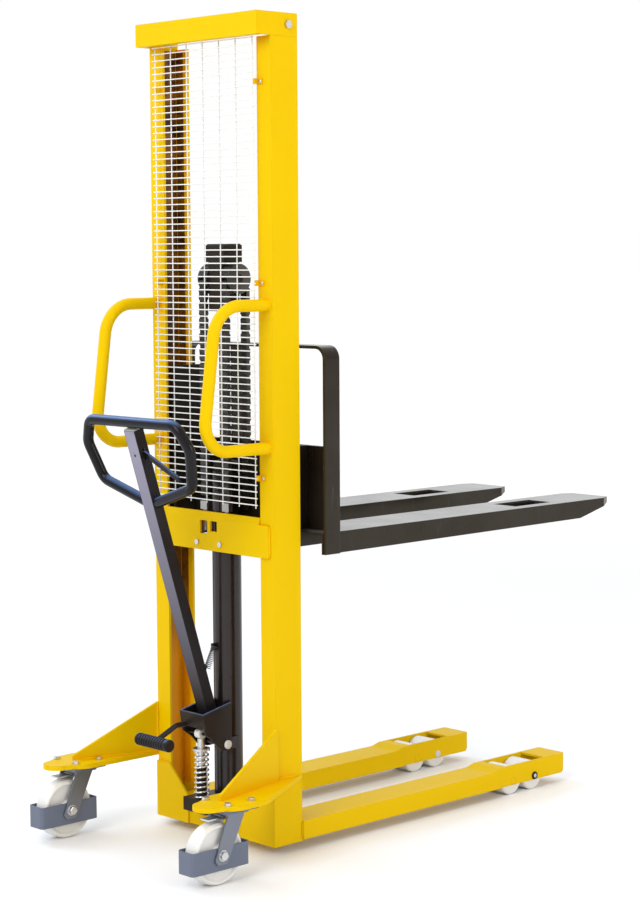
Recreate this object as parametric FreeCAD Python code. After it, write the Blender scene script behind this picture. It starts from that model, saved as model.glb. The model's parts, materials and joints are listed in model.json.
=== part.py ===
import FreeCAD, Part
import math
import os

# Hand pallet stacker, in millimetres: X to the operator's right, Y towards the fork tips, Z up.
# Sizes below are laid out with Y = 0 on the mast's operator face; the finished solids are then
# moved along Y so that the origin is the middle of the footprint, on the floor.

# Mast
HEIGHT = 2080.0
MAST_HALF = 231.0
CHANNEL_DEPTH = 88.0
CHANNEL_FLANGE = 51.0
CHANNEL_WALL = 7.0
MAST_FOOT_Z = 23.0
FOOT_PLATE_T = 6.0
FOOT_PLATE_REACH = 126.0
FOOT_PLATE_TALL = 146.0
FOOT_PLATE_STRAIGHT = 72.0
BEAM_H = 56.5
BEAM_FRONT = 45.5
BEAM_LIP = 22.0
BEAM_BOLT_Y = 56.0
BASE_BEAM_H = 60.0
BASE_BEAM_WALL = 5.0

# Middle cross plate with its shelf
CROSS_Z0 = 748.0
CROSS_Z1 = 830.0
CROSS_T = 6.0
CROSS_INSET = 16.0
CROSS_LIP_H = 17.0
CROSS_LIP_BACK = 5.0
SHELF_END_GAP = 15.0
SHELF_DEPTH = 54.0
SHELF_COLLAR_GAP = 2.0
WINDOWS = ((-30.0, 28.0, 34.0), (8.0, 26.0, 26.0))
CROSS_SCREW_X = (-55.0, 34.0)
CROSS_SCREW_Z = 767.0
SCREW_HEAD_D = 14.0
SCREW_HEAD_H = 4.0
BEAM_BOLT_HEX = 18.0
BEAM_BOLT_H = 7.0

# Legs and the roller boxes at their ends
LEG_OVERHANG = 5.0
LEG_W = 100.7
LEG_TOP_Z = 75.7
LEG_BOTTOM_Z = 27.6
LEG_WALL = 6.0
BOX_W = 96.0
BOX_Y0 = 830.0
BOX_Y1 = 1102.0
BOX_TOP_Z = 84.0
BOX_BOTTOM_Z = 29.0
BOX_WALL = 6.0
BOX_RAMP_L = 32.0
BOX_END_R = 8.0
BOX_TOE = 12.0
LOAD_ROLLER_D = 80.0
LOAD_ROLLER_Y = (885.0, 973.0)
LOAD_AXLE_D = 20.0
ROLLER_SLOT_GAP = 6.0
LOAD_ROLLER_CHAMFER = 4.0
LOAD_AXLE_HEAD_T = 3.0

# Caster arms and casters
CASTER_OUT = 67.0
SWIVEL_Y = -215.0
CASTER_TRAIL = 48.0
PAD_R = 65.0
PAD_TOP_Z = 195.0
PAD_T = 12.0
TONGUE_R = 36.0
TONGUE_L = 66.0
GUSSET_T = 8.0
GUSSET_TOP_Z = 325.0
GUSSET_TIP_H = 14.0
GUSSET_TIP_DX = 10.0
GUSSET_TIP_DY = 22.0
CASTER_PLATE_X = 106.0
CASTER_PLATE_Y = 100.0
CASTER_PLATE_T = 6.0
CASTER_BOLT_DX = 80.0
CASTER_BOLT_DY = 74.0
CASTER_BOLT_D = 10.0
CASTER_BOLT_HEX = 16.0
CASTER_BOLT_HEAD_H = 7.0
KING_PIN_D = 14.0
KING_NUT_HEX = 21.0
KING_NUT_H = 7.0
CROWN_R = 34.0
CROWN_T = 9.0
CASTER_WHEEL_D = 150.0
CASTER_WHEEL_W = 44.0
CASTER_HUB_W = 50.0
CASTER_AXLE_D = 12.0
CASTER_AXLE_HEX = 19.0
CASTER_AXLE_HEAD_H = 7.0
CASTER_AXLE_NUT_H = 9.0
WHEEL_HUB_R = 20.0
WHEEL_WEB_R = 24.0
WHEEL_WEB_INSET = 6.0
WHEEL_RIM_INSET = 4.0
WHEEL_RIM_DEPTH = 14.0
WHEEL_TREAD_DEPTH = 9.0
WHEEL_TREAD_EDGE = 4.0
WHEEL_TREAD_ROUND = 7.0
GUARD_W = 58.0
GUARD_L = 180.0
GUARD_H = 56.0
GUARD_T = 3.0
GUARD_Z0 = 38.0
GUARD_CORNER_R = 10.0
FORK_LEG_T = 5.0
FORK_LEG_TOP = (-27.0, 25.0)
FORK_LEG_FOOT = ((18.0, -14.0), (12.0, -22.0), (-16.0, -22.0), (-24.0, -10.0))
BRAKE_PIVOT_DY = 22.0
BRAKE_PIVOT_DZ = 85.0
BRAKE_TAB_L = 50.0
BRAKE_TAB_W = 28.0
BRAKE_TAB_T = 4.0
BRAKE_PIN_D = 6.0
BRAKE_EYE_WALL = 2.5

# Operator's grab handles
GRAB_TUBE_D = 30.0
GRAB_WALL = 3.0
GRAB_INSET = 21.0
GRAB_TOP_Z = 1373.0
GRAB_BOTTOM_Z = 1022.0
GRAB_TOP_REACH = 163.0
GRAB_BOTTOM_REACH = 210.0
GRAB_TOP_R = 85.0
GRAB_BOTTOM_R = 68.0

# Wire guard
MESH_Y = -22.0
MESH_INSET = 42.0
MESH_Z0 = 872.0
MESH_WIRE = 3.0
MESH_COLUMNS = 6
MESH_ROWS = 48
CLIP_AT = (0.065, 0.482, 0.906)
CLIP_W = 16.0
CLIP_H = 14.0
CLIP_T = 2.5

# Hydraulic cylinder, rod and chain head
CYL_Y = 45.0
CYL_D = 74.0
CYL_BORE_D = 56.0
CYL_TOP_Z = 950.0
GLAND_H = 25.0
GLAND_D = 64.0
GLAND_CHAMFER = 4.0
PISTON_H = 20.0
ROD_D = 30.0
ROD_L = 850.0
HEAD_HALF = 35.0
HEAD_DEPTH = 60.0
HEAD_Z0 = 1355.0
HEAD_TOP_Z = 1525.0
HEAD_CHAMFER = 5.0
HEAD_CAP_GAP = 2.0
SHEAVE_Z = 1436.0
SHEAVE_PITCH_R = 33.0
SHEAVE_RIM = 5.0
SHEAVE_FLANGE_T = 3.0
SHEAVE_AXLE_D = 24.0
CHAIN_X = 42.0
CHAIN_W = 25.0
CHAIN_LINK_H = 14.0
CHAIN_NECK_H = 10.0
CHAIN_INNER_CUT = 0.5
CHAIN_PITCH = 19.05
CHAIN_BOTTOM_Z = 872.0
CHAIN_END_H = 22.0
ANCHOR_STUD_D = 12.0
ANCHOR_NUT_D = 20.0
ANCHOR_NUT_H = 9.0

# Pump, plunger and tiller
PUMP_HALF = 44.0
PUMP_Y0 = -72.0
PUMP_H = 34.0
PLUNGER_Y = -47.0
PLUNGER_D = 20.0
BARREL_D = 26.0
BARREL_H = 80.0
COLLAR_D = 44.0
COLLAR_T = 6.0
COLLAR_Z = 240.0
SPRING_D = 40.0
SPRING_WIRE = 5.0
SPRING_TURNS = 11
SPRING_END_GAP = 1.0
PIVOT_Z = 255.0
PIVOT_PIN_D = 16.0
PIVOT_CAP_LIP = 3.0
PIVOT_CAP_T = 4.0
PIVOT_LUG_X = 30.0
PIVOT_LUG_T = 10.0
PIVOT_LUG_R = 15.0
YOKE_X = 41.0
YOKE_T = 6.0
YOKE_FRONT = 79.0
YOKE_RIM_BACK_Z = 107.0
YOKE_RIM_FRONT_Z = 87.0
YOKE_CLEAR = 4.0
YOKE_JAW = 20.0
YOKE_JAW_RISE = 4.0
YOKE_HEEL_Y = 4.0
YOKE_HEEL_DROP = 12.0
YOKE_FACE_RISE = 22.0
YOKE_WEB_DROP = 12.0
PUSH_ROLLER_D = 24.0
PUSH_ROLLER_W = 20.0
PUSH_ROLLER_DY = -50.0
PUSH_ROLLER_DZ = 29.0
PUSH_PIN_D = 8.0
TILLER_LEAN = 17.2
TILLER_W = 40.0
TILLER_DEPTH = 30.0
TILLER_WALL = 3.0
TILLER_START = 70.0
TILLER_END = 856.0
LOOP_TUBE_D = 27.0
LOOP_RISE = 18.0
LOOP_TOP_HALF = 168.0
LOOP_WIDE_HALF = 200.0
LOOP_WIDE_DROP = 62.0
LOOP_HIP_HALF = 172.0
LOOP_HIP_DROP = 161.0
LOOP_FOOT_DROP = 211.0
LOOP_R = 34.0
LEVER_BELOW_END = 64.0
LEVER_REACH = 130.0
LEVER_DROP = 60.0
LEVER_NECK = 4.0
LEVER_SLOT_GAP = 7.0
LEVER_T = 6.0
LEVER_W = 15.0
LEVER_PIN_D = 6.0
PEDAL_X = -30.0
PEDAL_L = 124.0
PEDAL_D = 32.0
PEDAL_ROUND = 6.0
PEDAL_END_WALL = 10.0
PEDAL_ARM_DROP = 34.0
PEDAL_ARM_OUT = 26.0
PEDAL_ARM_R = 20.0
PEDAL_DY = -176.0
PEDAL_DZ = 21.0
PEDAL_BAR_D = 14.0
PEDAL_SPINDLE_D = 16.0
PULL_SPRING_X = 8.0
PULL_SPRING_D = 18.0
PULL_SPRING_WIRE = 2.5
PULL_SPRING_TURNS = 12.5
PULL_SPRING_S = 196.0
PULL_SPRING_OFF = 12.0
PULL_SPRING_TOP_Y = -6.0
PULL_LUG_Z = 503.0
PULL_LUG_OFF = 10.0
PULL_LUG_T = 5.0
PULL_LUG_HALF = 13.0

# Lift carriage, forks and backrest
SIDE_PLATE_GAP = 5.0
SIDE_PLATE_T = 10.0
SIDE_Y0 = 15.0
SIDE_Y1 = 125.0
SIDE_TOP_Z = 1167.0
CARRIAGE_FRONT_Y = 177.0
FRONT_PLATE_T = 12.0
FRONT_PLATE_TOP_Z = 1017.0
FORK_TOP_Z = 805.0
FORK_OVERHANG = 42.5
FORK_W = 159.0
FORK_H = 54.0
FORK_WALL = 5.0
FORK_HEEL_Y = 125.0
FORK_TIP_Y = 1254.0
FORK_TAPER_L = 135.0
FORK_TIP_H = 16.0
FORK_TIP_CHAMFER = 16.0
FORK_TAIL_RISE = 5.0
CUTOUT_Y0 = 890.0
CUTOUT_L = 145.0
CUTOUT_W = 80.0
WELD_GROOVE_W = 6.0
WELD_GROOVE_D = 1.5
REST_BAR_T = 8.0
REST_BAR_D = 50.0
REST_TOP_Z = 1271.0
REST_R = 30.0
REST_INNER_X = 73.0
MAST_ROLLER_Z = (850.0, 1120.0)
MAST_ROLLER_W = 30.0
MAST_ROLLER_END_GAP = 6.0
MAST_ROLLER_SHOULDER = 5.0
MAST_ROLLER_AXLE_D = 24.0
ROLLER_SIDE_GAP = 0.5
ANCHOR_BAR_Y = 86.0
ANCHOR_BAR_T = 12.0
ANCHOR_BAR_H = 40.0

# Clearances
RUN_FIT = 0.05
SLIP = 0.3
WASHER_GAP = 1.0

# Places that follow from the sizes above
X_AXIS = FreeCAD.Vector(1, 0, 0)
Y_AXIS = FreeCAD.Vector(0, 1, 0)
Z_AXIS = FreeCAD.Vector(0, 0, 1)
ORIGIN = FreeCAD.Vector(0, 0, 0)
BEAM_Z0 = HEIGHT - BEAM_H
FLANGE_INNER = MAST_HALF - CHANNEL_FLANGE
CROSS_HALF = MAST_HALF - CROSS_INSET
LEG_OUTER = MAST_HALF + LEG_OVERHANG
CASTER_X = MAST_HALF + CASTER_OUT
GRAB_X = MAST_HALF - GRAB_INSET
MESH_HALF = MAST_HALF - MESH_INSET
FORK_OUTER = MAST_HALF + FORK_OVERHANG
SIDE_PLATE_X = FLANGE_INNER - SIDE_PLATE_GAP - SIDE_PLATE_T
SHELF_HALF = SIDE_PLATE_X - SHELF_END_GAP
MAST_ROLLER_X = MAST_HALF - CHANNEL_WALL - MAST_ROLLER_END_GAP - MAST_ROLLER_W
LOOP_TOP_S = TILLER_END + LOOP_RISE
LEVER_PIVOT_S = TILLER_END - LEVER_BELOW_END
BASE_TOP_Z = MAST_FOOT_Z + BASE_BEAM_H
PUMP_TOP_Z = BASE_TOP_Z + PUMP_H
LEG_MID = LEG_OUTER - LEG_W / 2
LOAD_ROLLER_W = BOX_W - 2 * (BOX_WALL + WASHER_GAP)
FORK_MID = FORK_OUTER - FORK_W / 2
AXLE_Y = SWIVEL_Y - CASTER_TRAIL
AXLE_Z = CASTER_WHEEL_D / 2
PLATE_BOTTOM_Z = PAD_TOP_Z - PAD_T - CASTER_PLATE_T
CROWN_TOP_Z = PLATE_BOTTOM_Z - SLIP
CROWN_Z0 = CROWN_TOP_Z - CROWN_T
MAST_ROLLER_D = CHANNEL_DEPTH - 2 * (CHANNEL_WALL + ROLLER_SIDE_GAP)
SHEAVE_FLANGE_R = SHEAVE_PITCH_R + SHEAVE_RIM
FRONT_STRAND_Y = CYL_Y - SHEAVE_PITCH_R
BACK_STRAND_Y = CYL_Y + SHEAVE_PITCH_R
PLATE_BASE_Z = FORK_TOP_Z - FORK_WALL
LEAN = math.radians(TILLER_LEAN)
Y_MIDDLE = (AXLE_Y - GUARD_L / 2 + FORK_TIP_Y) / 2


def vec(x, y, z):
    return FreeCAD.Vector(x, y, z)


def block(x0, x1, y0, y1, z0, z1):
    return Part.makeBox(x1 - x0, y1 - y0, z1 - z0, vec(x0, y0, z0))


def rod(centre, axis, radius, length):
    """A cylinder centred on a point."""
    return Part.makeCylinder(radius, length, centre - axis * (length / 2), axis)


def ring(centre, axis, outer, inner, length):
    return rod(centre, axis, outer, length).cut(rod(centre, axis, inner, length * 2))


def prism(points, depth):
    """A straight-sided outline extruded by a vector."""
    return Part.Face(Part.makePolygon(points + points[:1])).extrude(depth)


def fuse(shapes):
    return shapes[0].multiFuse(shapes[1:]).removeSplitter()


def mirrored(shape):
    return shape.mirror(ORIGIN, X_AXIS)


def hexagon(centre, axis, across, height):
    """A hexagonal head or nut standing on a point along an axis."""
    side = X_AXIS if abs(axis.x) < 0.5 else Y_AXIS
    third = axis.cross(side)
    corner = across / math.sqrt(3)
    points = []
    for step in range(6):
        angle = math.radians(60 * step)
        points.append(centre + side * (corner * math.cos(angle)) + third * (corner * math.sin(angle)))
    return prism(points, axis * height)


def rounded_path(points, radii):
    """Straight runs joined by tangent arcs; one radius for each inner point."""
    edges = []
    start = points[0]
    for before, corner, after, radius in zip(points, points[1:], points[2:], radii):
        towards = (before - corner).normalize()
        onwards = (after - corner).normalize()
        half = towards.getAngle(onwards) / 2
        reach = radius / math.tan(half)
        enter = corner + towards * reach
        leave = corner + onwards * reach
        bisector = (towards + onwards).normalize()
        middle = corner + bisector * (radius / math.sin(half) - radius)
        edges.append(Part.LineSegment(start, enter).toShape())
        edges.append(Part.Arc(enter, middle, leave).toShape())
        start = leave
    edges.append(Part.LineSegment(start, points[-1]).toShape())
    return Part.Wire(edges)


def swept(path, profile):
    return path.makePipeShell([profile], True, False)


def round_sweep(path, start, direction, radius):
    return swept(path, Part.Wire(Part.Circle(start, direction, radius).toShape()))


def arc_edge(start, corner, end):
    """The arc that leaves start towards corner and meets end, tangent to both lines."""
    middle = (start + end) * 0.5
    height = (corner - middle).Length
    half_chord = (end - start).Length / 2
    sagitta = half_chord * math.tan(math.atan2(height, half_chord) / 2)
    return Part.Arc(start, middle + (corner - middle) * (sagitta / height), end).toShape()


def biarc_edges(start, start_dir, end, end_dir):
    chord = end - start
    both = start_dir + end_dir
    a = both.dot(both) - 4
    b = -2 * chord.dot(both)
    c = chord.dot(chord)
    reach = (-b - math.sqrt(b * b - 4 * a * c)) / (2 * a)
    first = start + start_dir * reach
    second = end - end_dir * reach
    joint = (first + second) * 0.5
    return [arc_edge(start, first, joint), arc_edge(joint, second, end)]


def coil(name, radius, wire, turns, rise, first_lead, last_lead):
    """A round-wire spring about Z from z = 0, with a straight lead at each end."""
    slope = rise / (2 * math.pi * turns)
    run = math.hypot(radius, slope)

    def place(angle):
        return vec(radius * math.sin(angle), -radius * math.cos(angle), slope * angle)

    def heading(angle):
        return vec(radius * math.cos(angle), radius * math.sin(angle), slope) * (1 / run)

    quarters = round(4 * turns)
    angles = [math.pi / 2 * step for step in range(quarters + 1)]
    tail = place(0) - heading(0) * first_lead
    edges = [Part.LineSegment(tail, place(0)).toShape()]
    for angle, following in zip(angles, angles[1:]):
        edges += biarc_edges(place(angle), heading(angle), place(following), heading(following))
    last = angles[-1]
    edges.append(Part.LineSegment(place(last), place(last) + heading(last) * last_lead).toShape())
    path = Part.Wire(edges)
    samples = path.discretize(quarters * 6)
    skip = 12
    gap = min((p - q).Length for i, p in enumerate(samples) for q in samples[i + skip:]) - wire
    print(f"{name}: least gap to itself {gap:.2f} mm")
    return round_sweep(path, tail, heading(0), wire / 2)


saved = {}


def save(name, shape):
    moved = shape.copy()
    moved.translate(vec(0, -Y_MIDDLE, 0))
    moved.exportStep(f"parts/{name}.step")
    saved[name] = moved


def save_pair(name, right):
    save(name + "_right", right)
    save(name + "_left", mirrored(right))


def make_mast():
    outer = block(FLANGE_INNER, MAST_HALF, 0, CHANNEL_DEPTH, MAST_FOOT_Z, BEAM_Z0)
    inner = block(FLANGE_INNER - 1, MAST_HALF - CHANNEL_WALL, CHANNEL_WALL,
                  CHANNEL_DEPTH - CHANNEL_WALL, MAST_FOOT_Z - 1, HEIGHT)
    inside = MAST_HALF - FOOT_PLATE_REACH
    foot = prism([vec(MAST_HALF, 0, MAST_FOOT_Z), vec(inside, 0, MAST_FOOT_Z),
                  vec(inside, 0, MAST_FOOT_Z + FOOT_PLATE_STRAIGHT),
                  vec(FLANGE_INNER, 0, MAST_FOOT_Z + FOOT_PLATE_TALL),
                  vec(MAST_HALF, 0, MAST_FOOT_Z + FOOT_PLATE_TALL)], vec(0, -FOOT_PLATE_T, 0))
    save_pair("mast_channel", fuse([outer.cut(inner), foot]))

    front = block(-MAST_HALF, MAST_HALF, -BEAM_FRONT, -BEAM_FRONT + CHANNEL_WALL, BEAM_Z0, HEIGHT)
    side = block(MAST_HALF - CHANNEL_WALL, MAST_HALF, -BEAM_FRONT, CHANNEL_DEPTH, BEAM_Z0, HEIGHT)
    top = block(-MAST_HALF, MAST_HALF, -BEAM_FRONT, CHANNEL_DEPTH, HEIGHT - CHANNEL_WALL, HEIGHT)
    lip = block(-MAST_HALF, MAST_HALF, -BEAM_FRONT, -BEAM_FRONT + BEAM_LIP, BEAM_Z0,
                BEAM_Z0 + CHANNEL_WALL)
    save("top_beam", fuse([front, side, mirrored(side), top, lip]))

    tube = block(-FLANGE_INNER, FLANGE_INNER, 0, CHANNEL_DEPTH, MAST_FOOT_Z, BASE_TOP_Z)
    hollow = block(-FLANGE_INNER - 1, FLANGE_INNER + 1, BASE_BEAM_WALL, CHANNEL_DEPTH - BASE_BEAM_WALL,
                   MAST_FOOT_Z + BASE_BEAM_WALL, BASE_TOP_Z - BASE_BEAM_WALL)
    save("base_beam", tube.cut(hollow))


def make_cross_plate():
    lip_half = FLANGE_INNER - SLIP
    lip_z = CROSS_Z1 + CROSS_LIP_H
    face = block(-CROSS_HALF, CROSS_HALF, -CROSS_T, 0, CROSS_Z0, CROSS_Z1)
    lip = prism([vec(-lip_half, y, z) for y, z in
                 ((-CROSS_T, CROSS_Z1), (CROSS_LIP_BACK - CROSS_T, lip_z), (CROSS_LIP_BACK, lip_z), (0, CROSS_Z1),
                  (0, CROSS_Z0), (-CROSS_T, CROSS_Z0))], X_AXIS * (2 * lip_half))
    shelf = block(-SHELF_HALF, SHELF_HALF, -CROSS_T, SHELF_DEPTH, CROSS_Z1 - CROSS_T, CROSS_Z1)
    shelf = shelf.cut(rod(vec(0, CYL_Y, CROSS_Z1), Z_AXIS, CYL_D / 2 + SHELF_COLLAR_GAP, 4 * CROSS_T))
    plate = fuse([face, lip, shelf])
    window_top = CROSS_Z1 - CROSS_T
    for x, width, height in WINDOWS:
        plate = plate.cut(block(x - width / 2, x + width / 2, -2 * CROSS_T, CROSS_T,
                                window_top - height, window_top))
    for side in (-1, 1):
        plate = plate.cut(rod(vec(side * CHAIN_X, FRONT_STRAND_Y, CROSS_Z1), Z_AXIS,
                              ANCHOR_STUD_D / 2 + SLIP, 4 * CROSS_T))
    save("mid_cross_plate", plate)

    studs = []
    for side in (-1, 1):
        foot = vec(side * CHAIN_X, FRONT_STRAND_Y, CROSS_Z1)
        clevis_z = CHAIN_BOTTOM_Z - CHAIN_END_H
        shank_low = CROSS_Z1 - CROSS_T - 3 * ANCHOR_NUT_H
        shank = Part.makeCylinder(ANCHOR_STUD_D / 2, clevis_z - shank_low, vec(foot.x, foot.y, shank_low))
        clevis = block(foot.x - CHAIN_W / 2, foot.x + CHAIN_W / 2, foot.y - CHAIN_LINK_H / 2,
                       foot.y + CHAIN_LINK_H / 2, clevis_z, CHAIN_BOTTOM_Z)
        upper = hexagon(foot, Z_AXIS, CHAIN_LINK_H - 2 * SLIP, ANCHOR_NUT_H)
        lower = hexagon(foot - Z_AXIS * CROSS_T, Z_AXIS * -1, CHAIN_LINK_H - 2 * SLIP, 2 * ANCHOR_NUT_H)
        studs.append(fuse([shank, clevis, upper, lower]))
    save("chain_anchor_bolts", Part.makeCompound(studs))

    screws = [Part.makeCylinder(SCREW_HEAD_D / 2, SCREW_HEAD_H, vec(x, -CROSS_T, CROSS_SCREW_Z), Y_AXIS * -1)
              for x in CROSS_SCREW_X]
    for side in (-1, 1):
        seat = vec(side * MAST_HALF, BEAM_BOLT_Y, BEAM_Z0 + BEAM_H / 2)
        screws.append(hexagon(seat, X_AXIS * side, BEAM_BOLT_HEX, BEAM_BOLT_H))
    save("frame_screws", Part.makeCompound(screws))


def make_leg():
    inner_x = LEG_OUTER - LEG_W
    channel = block(inner_x, LEG_OUTER, CHANNEL_DEPTH, BOX_Y0, LEG_BOTTOM_Z, LEG_TOP_Z)
    channel = channel.cut(block(inner_x + LEG_WALL, LEG_OUTER - LEG_WALL, 0, BOX_Y0,
                                LEG_BOTTOM_Z - 1, LEG_TOP_Z - LEG_WALL))
    box_x0 = LEG_MID - BOX_W / 2
    box_x1 = LEG_MID + BOX_W / 2
    case = block(box_x0, box_x1, BOX_Y0, BOX_Y1, BOX_BOTTOM_Z, BOX_TOP_Z)
    corners = [edge for edge in case.Edges if edge.BoundBox.YMin > BOX_Y1 - 1 and edge.BoundBox.ZLength > 1]
    case = case.makeFillet(BOX_END_R, corners)
    case = case.cut(prism([vec(box_x0 - 1, BOX_Y1 - BOX_TOE, BOX_BOTTOM_Z),
                           vec(box_x0 - 1, BOX_Y1, BOX_BOTTOM_Z),
                           vec(box_x0 - 1, BOX_Y1, BOX_BOTTOM_Z + BOX_TOE)], X_AXIS * (BOX_W + 2)))
    case = case.cut(block(box_x0 + BOX_WALL, box_x1 - BOX_WALL, BOX_Y0 + BOX_WALL, BOX_Y1 - BOX_WALL,
                          BOX_BOTTOM_Z - 1, BOX_TOP_Z - BOX_WALL))
    slot_y0 = LOAD_ROLLER_Y[0] - LOAD_ROLLER_D / 2 + ROLLER_SLOT_GAP * 2
    slot_y1 = LOAD_ROLLER_Y[1] + LOAD_ROLLER_D / 2 + ROLLER_SLOT_GAP
    slot_half = LOAD_ROLLER_W / 2 + WASHER_GAP
    case = case.cut(block(LEG_MID - slot_half, LEG_MID + slot_half, slot_y0, slot_y1,
                          BOX_TOP_Z - 2 * BOX_WALL, BOX_TOP_Z + 1))
    ramp = prism([vec(inner_x, BOX_Y0 - BOX_RAMP_L, LEG_TOP_Z), vec(inner_x, BOX_Y0, LEG_TOP_Z),
                  vec(inner_x, BOX_Y0, BOX_TOP_Z)], X_AXIS * LEG_W)
    leg = fuse([channel, case, ramp])
    for y in LOAD_ROLLER_Y:
        leg = leg.cut(rod(vec(LEG_MID, y, LOAD_ROLLER_D / 2), X_AXIS, LOAD_AXLE_D / 2, 2 * BOX_W))
    save_pair("leg", leg)

    axles = []
    for side in (-1, 1):
        for y in LOAD_ROLLER_Y:
            centre = vec(side * LEG_MID, y, LOAD_ROLLER_D / 2)
            axle = rod(centre, X_AXIS, LOAD_AXLE_D / 2, BOX_W)
            if y == LOAD_ROLLER_Y[-1]:
                seat = centre + X_AXIS * (side * BOX_W / 2)
                head = Part.makeCylinder(LOAD_AXLE_D / 2 - WASHER_GAP, LOAD_AXLE_HEAD_T, seat, X_AXIS * side)
                axle = fuse([axle, head])
            axles.append(axle)
    save("load_roller_axles", Part.makeCompound(axles))

    for place, y in zip(("rear", "front"), LOAD_ROLLER_Y):
        centre = vec(LEG_MID, y, LOAD_ROLLER_D / 2)
        roller = ring(centre, X_AXIS, LOAD_ROLLER_D / 2, LOAD_AXLE_D / 2 + RUN_FIT, LOAD_ROLLER_W)
        rims = [edge for edge in roller.Edges if abs(edge.Length - math.pi * LOAD_ROLLER_D) < 1]
        save_pair(f"load_roller_{place}", roller.makeChamfer(LOAD_ROLLER_CHAMFER, rims))


def make_caster_arm():
    pad = vec(CASTER_X, SWIVEL_Y, PAD_TOP_Z)
    inner_x = CASTER_X - PAD_R
    outline = prism([vec(MAST_HALF, 0, PAD_TOP_Z), vec(inner_x, SWIVEL_Y, PAD_TOP_Z),
                     vec(CASTER_X + PAD_R, SWIVEL_Y, PAD_TOP_Z),
                     vec(CASTER_X + PAD_R, SWIVEL_Y + PAD_R, PAD_TOP_Z),
                     vec(MAST_HALF, CHANNEL_DEPTH, PAD_TOP_Z)], vec(0, 0, -PAD_T))
    end = Part.makeCylinder(PAD_R, PAD_T, pad - Z_AXIS * PAD_T)
    tongue_at = pad - Y_AXIS * TONGUE_L
    tongue = prism([pad + X_AXIS * PAD_R, tongue_at + X_AXIS * TONGUE_R,
                    tongue_at - X_AXIS * TONGUE_R, pad - X_AXIS * PAD_R], vec(0, 0, -PAD_T))
    tongue_end = Part.makeCylinder(TONGUE_R, PAD_T, tongue_at - Z_AXIS * PAD_T)
    root = vec(MAST_HALF, 0, PAD_TOP_Z)
    tip = vec(CASTER_X - GUSSET_TIP_DX, SWIVEL_Y - GUSSET_TIP_DY, PAD_TOP_Z)
    along = (tip - root).normalize()
    across = vec(-along.y, along.x, 0) * GUSSET_T
    rise = Z_AXIS * (GUSSET_TOP_Z - PAD_TOP_Z)
    gusset = prism([root, tip, tip + Z_AXIS * GUSSET_TIP_H, root + rise], across)
    gusset = gusset.cut(block(0, MAST_HALF, 0, CHANNEL_DEPTH, PAD_TOP_Z, GUSSET_TOP_Z))
    arm = fuse([outline, end, tongue, tongue_end, gusset])
    for x, y in caster_bolt_places():
        arm = arm.cut(rod(vec(x, y, pad.z), Z_AXIS, CASTER_BOLT_D / 2, 4 * PAD_T))
    save_pair("caster_arm", arm)


def caster_bolt_places():
    return [(CASTER_X + i * CASTER_BOLT_DX / 2, SWIVEL_Y + j * CASTER_BOLT_DY / 2)
            for i in (-1, 1) for j in (-1, 1)]


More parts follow.
